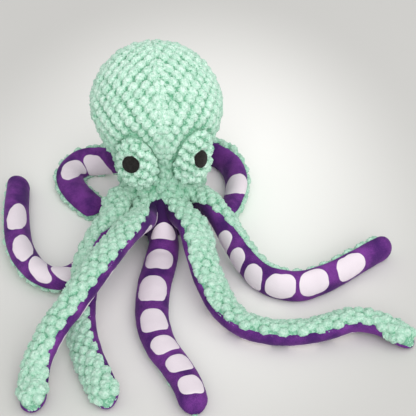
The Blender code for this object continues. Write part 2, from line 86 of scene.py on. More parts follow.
BASE_TOP = HIGH_CENTRE - ARM_THICKNESS / 2
NECK_Z = HIGH_CENTRE + ARM_THICKNESS / 2

# Head, eye mounds and eyes, as in the frame
DOME_RADIUS = 0.0540
HEAD_HEIGHT = 0.110
HEAD_LEAN = 0.013
HEAD_SIDEWAYS = 0.003
FACE_TURN = math.radians(8)
MOUND_RADIUS = 0.0200
MOUND_OFFSET = 0.0355
MOUND_HEIGHT_SHARE = 0.291
MOUND_SPREAD = math.radians(35)
EYE_RADIUS = 0.0072
EYE_TILT_UP = math.radians(16)
EYE_TURN_IN = math.radians(12)
FELT_WALL = 0.0012
BASE_EDGE = 0.004

# Visible form of the mounds: shifts the way the eye looks, towards the middle of the face and
# up, height as a share of the width, fullness, and an outward turn of each eye
MOUND_SHIFT_OUT = 0.0040
MOUND_SHIFT_IN = {-1: 0.0018, 1: 0.0008}
MOUND_SHIFT_UP = 0.0025
MOUND_UP_SHARE = 1.60
MOUND_FULLNESS = 2.4
EYE_TURN_OUT = {-1: 0.0, 1: math.radians(18)}
EYE_SEAT_WIDTH = 0.0045

# Visible form of the head under its lumps: a little lower and narrower than the frame's, most
# of all towards the crown, as shares of height and radius
VISIBLE_RADIUS = 0.0521
VISIBLE_HEIGHT = 0.108
VISIBLE_SIDEWAYS = 0.0045
HEAD_OUTLINE_SHARES = (
    (0.00, 0.672), (0.08, 0.692), (0.17, 0.722), (0.27, 0.798), (0.38, 0.906),
    (0.50, 0.986), (0.60, 1.000), (0.70, 0.942), (0.79, 0.850), (0.87, 0.702),
    (0.94, 0.510), (0.985, 0.270), (1.00, 0.112),
)

# Azimuth of the root from -Y towards +X and roll there are in degrees, and at a roll of 0 the
# lumpy side is up. high is the upper tier, middle_share the place of the middle hinge, and bow
# how far the tip bows down as a share of its half thickness. A sucker is its distance from the
# root, or also its length, shift towards the second edge and width, the last ones left out
# where they are usual. corner is the squareness of the suckers and slant their lean. trims
# says how far the velour comes round the first (right) and the second (left) edge, as
# distances from the root and degrees. A row of route_shares is x and y shares of the reach,
# lift share of the thickness and roll.
ARM_TABLE = {
    "arm_front": dict(
        azimuth=0, high=False, roll=180, middle_share=0.52, bow=0.6,
        suckers=((0.0243, 0.0105, 0), 0.046, 0.086, 0.126, 0.152, 0.174, 0.198),
        trims=(((0, 24), (0.06, 42), (0.19, 42), (0.21, 75)),
               ((0, 24), (0.06, 42), (0.19, 42), (0.21, 75))),
        route_shares=(
            (0.010, -0.210, 0.00, 180), (0.004, -0.292, 0.00, 180),
            (-0.016, -0.448, 0.00, 180), (-0.012, -0.608, 0.00, 180),
            (0.020, -0.720, 0.00, 180), (0.062, -0.800, 0.00, 178),
            (0.097, -0.884, 0.00, 176), (0.120, -0.975, 0.00, 176),
        ),
    ),
    "arm_front_left": dict(
        azimuth=-18.5, high=True, roll=14, middle_share=0.50, bow=0.6,
        suckers=(0.020, 0.050, 0.082, 0.114, 0.146, 0.178, 0.208),
        trims=(((0, -25), (0.050, -10), (0.066, 20), (0.096, 20), (0.112, 0)),
               ((0, 40), (0.010, 56), (0.024, 52), (0.036, 44), (0.048, 28), (0.065, 8),
                (0.200, 8), (0.232, -35))),
        route_shares=(
            (-0.062, -0.256, 1.74, 20), (-0.118, -0.424, 2.24, 26),
            (-0.182, -0.572, 2.14, 28), (-0.242, -0.674, 1.66, 28),
            (-0.298, -0.756, 1.12, 28), (-0.332, -0.816, 0.42, 26),
            (-0.340, -0.886, 0.00, 24), (-0.332, -0.966, 0.00, 22),
        ),
    ),
    "arm_front_right": dict(
        azimuth=18.5, high=True, roll=-14, middle_share=0.48, bow=0.6,
        suckers=tuple((place, 0.022, 0, 0.014)
                      for place in (0.020, 0.052, 0.085, 0.118, 0.151, 0.184, 0.216)),
        trims=(((0, 25), (0.024, 22), (0.040, 18), (0.060, 8), (0.240, 8), (0.262, -45)),
               ((0, -10), (0.06, 0))),
        route_shares=(
            (0.104, -0.260, 1.40, -22), (0.130, -0.370, 0.98, -28),
            (0.160, -0.468, 0.46, -30), (0.196, -0.548, 0.14, -30),
            (0.252, -0.614, 0.00, -28), (0.332, -0.652, 0.00, -26),
            (0.412, -0.656, 0.00, -26), (0.496, -0.640, 0.05, -26),
            (0.580, -0.610, 0.15, -24), (0.660, -0.620, 0.12, -22),
            (0.720, -0.656, 0.00, -22), (0.756, -0.692, 0.00, -22),
        ),
    ),
    "arm_left": dict(
        azimuth=-56, high=True, roll=20, middle_share=0.74, bow=0.6,
        suckers=(0.020, 0.052, 0.084, 0.116, 0.148, 0.178, 0.206),
        trims=(((0, 0),),
               ((0, -30), (0.048, -14), (0.060, 20), (0.074, 46), (0.088, 48), (0.102, 34),
                (0.118, 12), (0.130, 22), (0.200, 22), (0.228, -30))),
        route_shares=(
            (-0.148, -0.196, 1.34, 34), (-0.184, -0.312, 1.30, 38),
            (-0.210, -0.420, 1.24, 40), (-0.222, -0.512, 0.74, 42),
            (-0.226, -0.590, 0.22, 42), (-0.218, -0.668, 0.00, 42),
            (-0.190, -0.772, 0.00, 40), (-0.154, -0.864, 0.00, 38),
            (-0.120, -0.952, 0.00, 36),
        ),
    ),
    "arm_right": dict(
        azimuth=56, high=True, roll=-50, middle_share=0.50,
        suckers=(0.0565, 0.0765, 0.0975, (0.118, 0.020, 0), (0.141, 0.022, -0.003),
                 (0.1755, 0.030, -0.003)),
        trims=(((0, -55), (0.06, 0), (0.108, 2), (0.124, 30), (0.14, 30), (0.155, 16)),
               ((0, 0),)),
        route_shares=(
            (0.186, -0.180, 1.00, -76), (0.228, -0.252, 0.56, -92),
            (0.272, -0.332, 0.18, -98), (0.322, -0.402, 0.00, -100),
            (0.376, -0.440, 0.00, -100), (0.436, -0.448, 0.00, -100),
            (0.500, -0.420, 0.00, -100), (0.600, -0.340, 0.00, -100),
            (0.688, -0.262, 0.00, -100), (0.740, -0.222, 0.00, -100),
        ),
    ),
    "arm_far_left": dict(
        azimuth=-48, high=False, roll=-180, middle_share=0.50,
        suckers=((0.050, 0.016, -0.004, 0.022), (0.073, 0.018, -0.005, 0.024),
                 (0.095, 0.019, -0.006, 0.027), (0.117, 0.021, -0.005, 0.023),
                 (0.145, 0.031, -0.005, 0.021), (0.187, 0.037, -0.005, 0.021)),
        corner=2.1, slant=-0.7,
        trims=(((0, 24), (0.06, 38)), ((0, 24), (0.06, 38))),
        route_shares=(
            (-0.150, -0.160, 0.00, -180), (-0.188, -0.252, 0.00, -178),
            (-0.226, -0.336, 0.00, -174), (-0.278, -0.390, 0.00, -168),
            (-0.342, -0.392, 0.00, -160), (-0.408, -0.330, 0.00, -150),
            (-0.454, -0.230, 0.00, -144), (-0.482, -0.090, 0.00, -140),
            (-0.496, 0.048, 0.00, -136), (-0.502, 0.160, 0.00, -134),
        ),
    ),
    "arm_back_left": dict(
        azimuth=-140, high=True, roll=30, middle_share=0.52,
        suckers=((0.012, 0.018, 0), (0.057, 0.033, -0.007, 0.029), (0.094, 0.036, 0, 0.020)),
        corner=2.2,
        trims=(((0, 0),), ((0, -14),)),
        route_shares=(
            (-0.120, 0.160, 0.95, 50), (-0.166, 0.212, 0.45, 80),
            (-0.228, 0.256, 0.10, 110), (-0.294, 0.254, 0.00, 140),
            (-0.330, 0.194, 0.00, 165), (-0.314, 0.112, 0.00, 190),
            (-0.262, 0.028, 0.00, 205), (-0.208, -0.036, 0.00, 210),
        ),
    ),
    "arm_back_right": dict(
        azimuth=140, high=True, roll=-30, middle_share=0.52,
        suckers=((0.045, 0.020, 0), (0.142, 0.028, -0.005, 0.032)), corner=2.2,
        trims=(((0, -28), (0.09, -28), (0.125, 26)), ((0, 0),)),
        route_shares=(
            (0.086, 0.210, 0.90, -60), (0.108, 0.296, 0.30, -85),
            (0.162, 0.326, 0.00, -100), (0.218, 0.276, 0.00, -112),
            (0.248, 0.184, 0.00, -122), (0.250, 0.088, 0.00, -130),
            (0.232, 0.000, 0.00, -134), (0.206, -0.076, 0.00, -134),
        ),
    ),
}

# How the covers are laid out, from the steps between their points to the tucked edges
PLUSH_STEP = 0.00064
VELOUR_STEP = 0.0011
OUTLINE_STEP = 0.0006
ARC_SAMPLES = 97
RAY_REACH = 0.15
RAY_HALVINGS = 24
RAY_STEP = 2.0
COVER_WIDTH = 0.0375
STUB_LENGTH = 0.014
ROOT_BEND = (-0.003, 0.014)
MIDDLE_BEND = 0.014
JOIN_BEFORE_MIDDLE = 0.016
HEM_ANGLE = math.radians(6)
TUCK_DEPTH = 0.0016
TUCK_DROP = 0.0006
VELOUR_INSET = 0.0003
HEM_INSET = 0.0012
HEM_REACH = 0.0022
VELOUR_TIP_INSET = 0.0004
FRONT_ROOT_RISE = 0.023
FRONT_RISE_REACH = 0.042
FLOOR_CLEARANCE = 0.0002

# Rows of lumps: distances as shares of the lumps' own distance
ROW_PITCH_SHARE = 1.18
ROW_GAP_SHARE = 0.727
ROW_SHIFT = 0.371
ROW_AXIS_SHARE = 0.55
LATITUDE_STEP = 0.02
GUIDE_TURN = 15
ROW_OVERRUN_SHARE = 0.42
ROW_SEAM_SHARE = 0.12
NECK_CLEAR_SHARE = 0.66
NECK_OVERLAP_SHARE = 0.3
NECK_ROWS_TOP = 0.070
HEAD_SCATTER_SHARE = 0.035
ARM_PITCH_SHARE = 1.16
ARM_GAP_SHARE = 0.86
ARM_SCATTER_SHARE = 0.05
ARM_EDGE_SHARE = 0.05
LUMP_SIZES = (0.82, 1.16)
HEAD_LUMP_RADIUS = 0.66
ARM_LUMP_RADIUS = 0.65
MOUND_LUMP_RADIUS = 0.60
MOUND_LUMP_SHARE = 1.55
MOUND_COVERED_SHARE = 0.97
MOUND_ROUND_SHARE = 1.1
MOUND_SEED_STEP = 20
LOOSENING = 0.3
PUSHES = 12
PUSH_REACH = 1.1
PUSH_SHARE = 0.3

# Height and width of the broad gathers under the lumps
HEAD_GATHER = (0.0006, 0.020)
ARM_GATHER = (0.0006, 0.014)
MOUND_GATHER = (0.0015, 0.009)

# Lump height that is left at a seam, which the plush's painted crease shade and tip highlight
# follow too, and how much sewing round the mounds presses the lumps
SEAM_PILE = 0.35
HEAD_SEAM_PILE = 0.62
MOUND_CREASE_PILE = 0.25
SEWN_PRESS = 0.15

# Crease between a mound and the head with the painted shade in it, how far the head's cloth sinks
# round a mound, and how far the ring round a mound reaches that is pressed and painted in shade
MOUND_CREASE = 0.0003
MOUND_CREASE_SHARE = 0.75
MOUND_CREASE_REACH = 0.0030
MOUND_CREASE_PAINTED_SHADE = 0.5
MOUND_SINK = 0.0024
MOUND_SINK_REACH = 0.010
MOUND_SEWN_REACH = 0.012

# Painted shade: how strongly colours are darkened, and where that darkening fades
ARM_PAINTED_SHADE = 0.30
FACE_PAINTED_SHADE = 0.34
LOW_HEAD_PAINTED_SHADE = 0.45
LOW_HEAD_REACH = (0.020, 0.078)
VELOUR_PAINTED_SHADE = 0.9
VELOUR_PAINTED_SHADE_REACH = (0.012, 0.040)

# Printed suckers
SUCKER_WIDTH = 0.0240
SUCKER_LENGTH_SHARE = 0.78
SUCKER_CORNER = 2.6
SUCKER_FADE = 0.01
NARROWEST = 0.001
SUCKER_EDGE = (0.85, 1.15)
NO_SUCKER = (3.0, 3.0)

# Felt eyes: where the plush at their edge is pressed flat, how deep they sit, and their rows
EYE_PRESS_REACH = (-0.0010, 0.0004)
FELT_SINK = 0.0006
FELT_ROUND_SHARE = 0.4
FELT_BACK_START = 0.12
FELT_FRONT_END = 0.06
FELT_BACK_ROWS = 14
FELT_FRONT_ROWS = 22
FELT_COLUMNS = 96
CORNER_ROWS = 6

# Base cover, turned in over its top
BASE_START = 0.001
BASE_LIP = 0.006
BASE_FLOOR_ROWS = 28
BASE_CORNER_ROWS = 7
BASE_WALL_ROWS = 20
BASE_LIP_ROWS = 6
BASE_COLUMNS = 180

# Stage
FLOOR_REACH = 8.0
SENSOR_WIDTH = 36
CLIP_START = 0.05
SOFT_BOX_SIZE = 1.3
SOFT_BOX_PLACE = Vector((0.65, -0.55, 1.10))
FILL_PLACE = Vector((0.20, -1.30, 0.85))
FILL_ANGLE = math.radians(50)
LIGHT_TARGET = Vector((0, 0, 0.03))

FORWARD = np.array((math.sin(FACE_TURN), -math.cos(FACE_TURN), 0))
RIGHT = np.array((math.cos(FACE_TURN), math.sin(FACE_TURN), 0))
UP = np.array((0, 0, 1.0))
SIDES = ((-1, "left"), (1, "right"))


def from_screen(code):
    """Linear colour of a screen colour written as six hexadecimal digits."""
    parts = [int(code[i:i + 2], 16) / 255 for i in (0, 2, 4)]
    return tuple(part / 12.92 if part < 0.04045 else ((part + 0.055) / 1.055) ** 2.4
                 for part in parts)


def number(name, description, default, **kind):
    return FloatProperty(name=name, description=description, default=default, **kind)


def metres(name, description, default):
    return number(name, description, default, unit="LENGTH")


def screen_colour(name, description, code):
    return FloatVectorProperty(name=name, description=description, default=from_screen(code),
                               subtype="COLOR")


class OctopusPlush(bpy.types.PropertyGroup):
    """Sizes of the lumpy plush"""

    head_spacing: metres("Head lumps", "Distance between lumps on the head", 0.0088)
    arm_spacing: metres("Arm lumps", "Distance between lumps on the arms", 0.0076)
    mound_spacing: metres("Eye mound lumps", "Distance between lumps on the eye mounds", 0.0074)
    lump_share: number(
        "Lump height", "Height of a lump as a share of their distance", 0.42, subtype="FACTOR")
    chain_share: number(
        "Chains", "How strongly lumps run together along their chains", 0.80, subtype="FACTOR")
    seam_depth: metres("Seam depth", "How deep the seams are drawn in", 0.0005)
    fluff_height: metres("Fluff height", "Height of the tufts on the lumps", 0.00110)
    fluff_size: metres("Fluff size", "Width of the tufts on the lumps", 0.0021)
    row_tilt: number("Row tilt", "How far the head's rows of lumps lean backwards",
                     math.radians(56), subtype="ANGLE")
    seed: IntProperty(
        name="Seed", description="Fixes the irregular places of the lumps", default=7)


class OctopusVelour(bpy.types.PropertyGroup):
    """Sizes of the printed velour"""

    dent_depth: metres("Dent depth", "Unevenness of the stuffing under the velour", 0.0007)
    dent_size: metres("Dent size", "Width of the uneven places", 0.016)
    sucker_raise: metres("Sucker raise", "How far a printed sucker stands up", 0.00035)


class OctopusColours(bpy.types.PropertyGroup):
    """Colours of the covers"""

    # Painted light: a painted highlight on the tops of the lumps and painted shade in the creases
    # between them, the plain mint in between
    mint_painted_highlight: screen_colour("Mint tips", "Tops of the lumps", "DDF4E7")
    mint_body: screen_colour("Mint", "Main colour of the plush", "B7DDC9")
    mint_painted_shade: screen_colour("Mint creases", "Between the lumps", "70AE8E")
    purple_light: screen_colour("Purple, brushed up", "Velour brushed one way", "7A3990")
    # The brushed-down purple, dimmed further, is also the colour of the painted shade near the arm
    # roots and on the base
    purple_dark: screen_colour("Purple, brushed down", "Velour brushed the other way", "401A5E")
    sucker: screen_colour("Suckers", "Printed suckers", "E6DBE3")
    felt: screen_colour("Felt", "Felt of the eyes", "201E1D")
    # The floor's bright middle and dim surround are a painted pool of light
    floor_light_pool: screen_colour("Floor, bright", "Middle of the floor", "FDFCF9")
    floor_outside_light_pool: screen_colour("Floor, dim", "Floor further out", "CDCCC9")


class OctopusStage(bpy.types.PropertyGroup):
    """Camera and light"""

    camera_place: FloatVectorProperty(
        name="Camera", description="Place of the camera", default=(0.0382, -0.8977, 0.6358),
        subtype="TRANSLATION", unit="LENGTH")
    camera_drop: number(
        "Camera drop", "How far the camera looks down", math.radians(35), subtype="ANGLE")
    lens: number("Lens", "Focal length in millimetres", 112.24)
    sky: number("Room light", "Strength of the light from all sides", 0.645)
    key: number("Soft box", "Power of the soft box", 4.15, subtype="POWER", unit="POWER")
    fill: number("Fill", "Strength of the even light from the front", 1.66)


# Wiring of node trees


class Signal:
    """Output of a node, which sums can be done with."""

    def __init__(self, wiring, socket):
        self.wiring = wiring
        self.socket = socket

    def __add__(self, other):
        return self.wiring.math("ADD", self, other)

    def __sub__(self, other):
        return self.wiring.math("SUBTRACT", self, other)

    def __rsub__(self, other):
        return self.wiring.math("SUBTRACT", other, self)

    def __mul__(self, other):
        return self.wiring.math("MULTIPLY", self, other)

    def __truediv__(self, other):
        return self.wiring.math("DIVIDE", self, other)

    def __rtruediv__(self, other):
        return self.wiring.math("DIVIDE", other, self)

    def __pow__(self, other):
        return self.wiring.math("POWER", self, other)

    def at_least(self, other):
        return self.wiring.math("MAXIMUM", self, other)


class Wiring:
    """Adds nodes to a tree and joins them."""

    def __init__(self, tree):
        self.tree = tree

    def add(self, kind, values=None, **settings):
        node = self.tree.nodes.new(kind)
        for name, value in settings.items():
            setattr(node, name, value)
        for name, value in (values or {}).items():
            self.feed(value, node.inputs[name])
        return node

    def out(self, kind, values=None, output=0, **settings):
        """Signal of a new node's output."""
        return Signal(self, self.add(kind, values, **settings).outputs[output])

    def feed(self, value, socket):
        if isinstance(value, Signal):
            self.tree.links.new(value.socket, socket)
        else:
            socket.default_value = value

    def math(self, operation, *values, clamp=False):
        return self.out("ShaderNodeMath", dict(enumerate(values)), operation=operation,
                        use_clamp=clamp)

    def vector(self, operation, *values, scale=None):
        values = dict(enumerate(values))
        if scale is not None:
            values["Scale"] = scale
        output = "Value" if operation in ("LENGTH", "DOT_PRODUCT") else "Vector"
        return self.out("ShaderNodeVectorMath", values, output, operation=operation)

    def parts(self, vector):
        node = self.add("ShaderNodeSeparateXYZ", {"Vector": vector})
        return [Signal(self, socket) for socket in node.outputs]

    def smooth(self, value, low, high, start=0.0, end=1.0):
        """Smooth step of value from low to high."""
        values = {"Value": value, "From Min": low, "From Max": high, "To Min": start,
                  "To Max": end}
        return self.out("ShaderNodeMapRange", values, "Result", interpolation_type="SMOOTHSTEP")

    def noise(self, place, scale, detail=2.0, seed=None):
        node = self.add("ShaderNodeTexNoise", {"Vector": place, "Scale": scale, "Detail": detail})
        if seed is not None:
            node.noise_dimensions = "4D"
            self.feed(seed, node.inputs["W"])
        return Signal(self, node.outputs[0])

    def swing(self, place, scale, height, detail=2.0, seed=None):
        """Noise that swings evenly about zero, as high as given."""
        return (self.noise(place, scale, detail, seed) - 0.5) * (height * 2.0)

    def cells(self, place, scale):
        """Distance from the middle of scattered cells."""
        return self.out("ShaderNodeTexVoronoi", {"Vector": place, "Scale": scale}, "Distance")

    def colour(self, share, first, second):
        return self.out("ShaderNodeMix", {0: share, 6: first, 7: second}, 2, data_type="RGBA")

    def named(self, name, kind="FLOAT"):
        """Value that a form tree's mesh carries."""
        return self.out("GeometryNodeInputNamedAttribute", {"Name": name}, "Attribute",
                        data_type=kind)

    def attribute(self, name, output="Fac"):
        """Value that a finish reads from the mesh."""
        return self.out("ShaderNodeAttribute", None, output, attribute_name=name)

    def own_place(self):
        return self.out("ShaderNodeTexCoord", None, "Object")


def form_tree(name, **inputs):
    """Geometry tree with a geometry socket, inputs named by kind, and its wiring."""
    tree = bpy.data.node_groups.new(name, "GeometryNodeTree")
    for side in ("INPUT", "OUTPUT"):
        tree.interface.new_socket("Geometry", in_out=side, socket_type="NodeSocketGeometry")
    for kind, labels in inputs.items():
        for label in labels:
            tree.interface.new_socket(label, in_out="INPUT", socket_type="NodeSocket" + kind)
    wiring = Wiring(tree)
    sockets = wiring.add("NodeGroupInput").outputs
    return tree, wiring, {socket.name: Signal(wiring, socket) for socket in sockets}


def close_tree(wiring, geometry, material):
    """Ends a form tree: plain smooth geometry in one material."""
    geometry = wiring.out("GeometryNodeSetShadeSmooth", {"Geometry": geometry})
    geometry = wiring.out("GeometryNodeRealizeInstances", {"Geometry": geometry})
    geometry = wiring.out("GeometryNodeSetMaterial", {"Geometry": geometry, "Material": material})
    wiring.add("NodeGroupOutput", {"Geometry": geometry})


def kept(wiring, geometry, name, value, kind="FLOAT"):
    """Geometry that keeps a value at its points."""
    return wiring.out("GeometryNodeStoreNamedAttribute",
                      {"Geometry": geometry, "Name": name, "Value": value},
                      "Geometry", data_type=kind, domain="POINT")


def moved_out(wiring, geometry, place, offset):
    """Moves points along their outward direction and keeps them on or over the floor."""
    outward = wiring.named("outward", "FLOAT_VECTOR")
    x, y, z = wiring.parts(
        wiring.vector("ADD", place, wiring.vector("SCALE", outward, scale=offset)))
    target = wiring.out("ShaderNodeCombineXYZ", {"X": x, "Y": y, "Z": z.at_least(FLOOR_CLEARANCE)})
    geometry = wiring.out("GeometryNodeSetPosition", {"Geometry": geometry, "Position": target})
    return kept(wiring, geometry, "cloth_place", place, "FLOAT_VECTOR")


def lumpy_plush_tree():
    """Raises a dome round every lump centre, with tufts on it, and draws in seams and presses."""
    tree, wiring, given = form_tree(
        "lumpy_plush", Object=("Lump Centres",), Int=("Seed",), Material=("Plush",),
        Float=("Spacing", "Lump Radius", "Chains", "Lump Height", "Seam Depth", "Fluff Height",
               "Fluff Size", "Gather Height", "Gather Size"))
    spacing, lump_height, seed = given["Spacing"], given["Lump Height"], given["Seed"]
    place = wiring.out("GeometryNodeInputPosition")
    centres = wiring.out("GeometryNodeObjectInfo", {"Object": given["Lump Centres"]}, "Geometry")
    nearest = wiring.out("GeometryNodeSampleNearest",
                         {"Geometry": centres, "Sample Position": place}, domain="POINT")

    def at_centre(value, kind="FLOAT"):
        return wiring.out("GeometryNodeSampleIndex",
                          {"Geometry": centres, "Value": value, "Index": nearest},
                          data_type=kind, domain="POINT")

    away = wiring.vector("SUBTRACT", place, at_centre(place, "FLOAT_VECTOR"))
    grain = at_centre(wiring.named("grain", "FLOAT_VECTOR"), "FLOAT_VECTOR")
    straight = wiring.vector("LENGTH", away) ** 2.0
    along = wiring.math("ABSOLUTE", wiring.vector("DOT_PRODUCT", away, grain)) ** 2.0
    wobble = wiring.swing(place, 0.6 / spacing, spacing * 0.16, 1.0, seed)
    distance = wiring.math("SQRT", straight + (straight - along) * given["Chains"]) + wobble
    share = distance.at_least(0.0) / given["Lump Radius"]
    dome = wiring.math("SQRT", (1.0 - share ** 2.4).at_least(0.0))
    lump = wiring.math("DIVIDE", dome - 0.30, 0.70, clamp=True)

    open_share = wiring.smooth(wiring.named("seam"), 0.0, spacing * 0.15)
    closed_share = 1.0 - open_share
    open_pile = lump * open_share
    closed_pile = closed_share * wiring.named("seam_pile")
    pile = open_pile + closed_pile
    raised = lump_height * (open_pile * at_centre(wiring.named("lump_size")) + closed_pile)
    sunk = (closed_share - closed_pile) * given["Seam Depth"]

    per_metre = 1.0 / given["Fluff Size"]
    fluff = wiring.swing(place, per_metre * 1.7, given["Fluff Height"], 2.0, seed)
    fluff = (fluff + (0.5 - wiring.cells(place, per_metre)) * given["Fluff Height"]) * (pile + 0.4)
    gather = wiring.swing(place, 1.0 / given["Gather Size"], given["Gather Height"], 1.0, seed)
    offset = raised - lump_height * 0.5 + fluff + gather - sunk
    press = wiring.named("press")
    offset = offset * (1.0 - press) + press * (lump_height * -0.5)
    geometry = moved_out(wiring, given["Geometry"], place, offset)
    # The kept pile sets the painted crease shade and the painted tip highlight in the plush finish
    close_tree(wiring, kept(wiring, geometry, "pile", pile), given["Plush"])
    return tree


def printed_velour_tree():
    """Uneven stuffing under smooth velour, and printed suckers that stand up a little."""
    tree, wiring, given = form_tree(
        "printed_velour", Int=("Seed",), Material=("Velour",),
        Float=("Dent Depth", "Dent Size", "Sucker Raise"))
    place = wiring.out("GeometryNodeInputPosition")
    dents = wiring.swing(place, 1.0 / given["Dent Size"], given["Dent Depth"], 2.0, given["Seed"])
    offset = dents + wiring.named("sucker") * given["Sucker Raise"]
    close_tree(wiring, moved_out(wiring, given["Geometry"], place, offset), given["Velour"])
    return tree


def shared(store, name, maker):
    """Data block of this name, made when it is first asked for."""
    return store.get(name) or maker()


def baked(obj, tree, values):
    """Runs a form tree on an object and keeps the result as its plain mesh."""
    modifier = obj.modifiers.new(tree.name, "NODES")
    modifier.node_group = tree
    for item in tree.interface.items_tree:
        if item.item_type == "SOCKET" and item.in_out == "INPUT" and item.name in values:
            modifier[item.identifier] = values[item.name]
    depsgraph = bpy.context.evaluated_depsgraph_get()
    mesh = bpy.data.meshes.new_from_object(
        obj.evaluated_get(depsgraph), preserve_all_data_layers=True, depsgraph=depsgraph)
    obj.modifiers.clear()
    rough = obj.data
    obj.data = mesh
    bpy.data.meshes.remove(rough)
    mesh.name = obj.name
    for name in ("outward", "seam", "seam_pile", "press", "sucker"):
        if name in mesh.attributes:
            mesh.attributes.remove(mesh.attributes[name])
    if not mesh.polygons or not mesh.materials:
        raise RuntimeError(obj.name + " came out empty")


# Finishes


def new_finish(name):
    material = bpy.data.materials.new(name)
    material.use_nodes = True
    return material, Wiring(material.node_tree)


def opaque(colour, share=1.0):
    return (*(part * share for part in colour), 1.0)


SHADER_SOCKETS = {
    "rough": "Roughness",
    "specular": "Specular IOR Level",
    "sheen": "Sheen Weight",
    "sheen_rough": "Sheen Roughness",
    "sheen_tint": "Sheen Tint",
}


def surfaced(material, wiring, colour, relief=None, **constants):
    """Finish with a colour, a relief (height, strength, distance) and constants."""
    inputs = material.node_tree.nodes["Principled BSDF"].inputs
    wiring.feed(colour, inputs["Base Color"])
    if relief:
        values = dict(zip(("Height", "Strength", "Distance"), relief))
        wiring.feed(wiring.out("ShaderNodeBump", values, "Normal"), inputs["Normal"])
    for name, value in constants.items():
        inputs[SHADER_SOCKETS[name]].default_value = value
    return material


def plush_finish():
    colours = bpy.context.scene.octopus_colours
    material, wiring = new_finish("mint_popcorn_plush_cloth")
    place = wiring.attribute("cloth_place", "Vector")
    tuft = wiring.noise(place, 900.0, 3.0)
    cells = wiring.cells(place, 1 / bpy.context.scene.octopus_plush.fluff_size)
    speckle = (tuft - 0.5) * 2.0 + (0.5 - cells) * 0.6 + wiring.swing(place, 430.0, 0.7, 1.0)
    height = wiring.attribute("pile") * 0.9 + speckle
    # The colour follows the lump height: painted shade in the creases and at seams, painted
    # highlight on the tops
    low = wiring.smooth(height, -0.1, 0.42)
    top = wiring.smooth(height + wiring.noise(place, 70.0, 2.0) * 0.3, 0.62, 1.35)
    colour = wiring.colour(low, opaque(colours.mint_painted_shade), opaque(colours.mint_body))
    colour = wiring.colour(top, colour, opaque(colours.mint_painted_highlight))
    # Painted shade: the kept shade pulls the colour further towards the dark crease green
    colour = wiring.colour(wiring.attribute("shade"), colour, opaque(colours.mint_painted_shade))
    relief = tuft * 0.8 + wiring.noise(place, 2400.0, 2.0) * 0.5
    return surfaced(material, wiring, colour, (relief, 0.9, 0.0006), rough=0.95, specular=0.15,
                    sheen=0.35, sheen_rough=0.5, sheen_tint=opaque(colours.mint_painted_highlight))


def velour_finish():
    colours = bpy.context.scene.octopus_colours
    material, wiring = new_finish("purple_printed_velour")
    place = wiring.attribute("cloth_place", "Vector")
    grain = wiring.noise(place, 1300.0, 3.0)
    tone = wiring.noise(place, 55.0, 3.0) * 1.5 + grain * 0.7
    purple = wiring.colour(wiring.smooth(tone, 0.75, 1.55), opaque(colours.purple_dark),
                           opaque(colours.purple_light))
    # Painted shade: where the kept shade is high, the velour goes to a dim deep purple
    purple = wiring.colour(wiring.attribute("shade"), purple, opaque(colours.purple_dark, 0.45))
    pale = wiring.colour(wiring.smooth(tone, 0.6, 1.6), opaque(colours.sucker, 0.93),
                         opaque(colours.sucker))
    across, along, _ = wiring.parts(wiring.out("ShaderNodeUVMap", uv_map="print"))
    reach = wiring.math("ABSOLUTE", across) ** 2.0 + wiring.math("ABSOLUTE", along) ** 2.0
    reach = reach + wiring.swing(place, 120.0, 0.24, 1.0)
    colour = wiring.colour(wiring.smooth(reach, 0.96, 1.04, 1.0, 0.0), purple, pale)
    relief = grain * 0.5 + wiring.noise(place, 2600.0, 2.0) * 0.5
    return surfaced(material, wiring, colour, (relief, 0.5, 0.0003), rough=0.85, specular=0.2,
                    sheen=0.18, sheen_rough=0.35, sheen_tint=opaque(from_screen("D9B8F0")))


def felt_finish():
    felt = bpy.context.scene.octopus_colours.felt
    material, wiring = new_finish("black_eye_felt")
    place = wiring.own_place()
    fibre = wiring.noise(place, 1600.0, 4.0)
    tone = fibre * 0.7 + wiring.noise(place, 400.0, 2.0) * 0.5
    colour = wiring.colour(wiring.smooth(tone, 0.4, 0.85), opaque(felt, 0.6), opaque(felt, 1.7))
    return surfaced(material, wiring, colour, (fibre, 0.7, 0.0004), rough=0.95, specular=0.1,
                    sheen=0.15)


def plastic_finish():
    material, wiring = new_finish("squeaker_shell")
    cloud = wiring.noise(wiring.own_place(), 220.0, 3.0)
    colour = wiring.colour(cloud, opaque(from_screen("C9CCD0")), opaque(from_screen("D9DBDE")))
    return surfaced(material, wiring, colour, (cloud, 0.2, 0.0002), rough=0.45)


def floor_finish():
    colours = bpy.context.scene.octopus_colours
    material, wiring = new_finish("pale_floor")
    # A painted pool of light: bright round a spot near the middle, dimmer further out
    centred = wiring.vector("SUBTRACT", wiring.own_place(), (0.022, 0.053, 0.0))
    away = wiring.vector("LENGTH", wiring.vector("MULTIPLY", centred, (1.0, 0.59, 1.0)))
    colour = wiring.colour(wiring.smooth(away, 0.052, 0.235), opaque(colours.floor_light_pool),
                           opaque(colours.floor_outside_light_pool))
    return surfaced(material, wiring, colour, rough=0.9, specular=0.0)


# Surfaces


def unit(vectors):
    lengths = np.linalg.norm(vectors, axis=-1, keepdims=True)
    return vectors / np.maximum(lengths, 1e-12)


def eased(share):
    share = np.clip(share, 0, 1)
    return share * share * (3 - 2 * share)


def faded(value, near, far):
    """One up to near, nothing from far on."""
    return 1 - eased((value - near) / (far - near))


def path_lengths(points):
    """Length of a path up to each of its points."""
    return np.append(0, np.cumsum(np.linalg.norm(np.diff(points, axis=0), axis=1)))


def along_path(at, lengths, points):
    """Points at the given lengths along a path."""
    return np.stack([np.interp(at, lengths, column) for column in points.T], axis=-1)


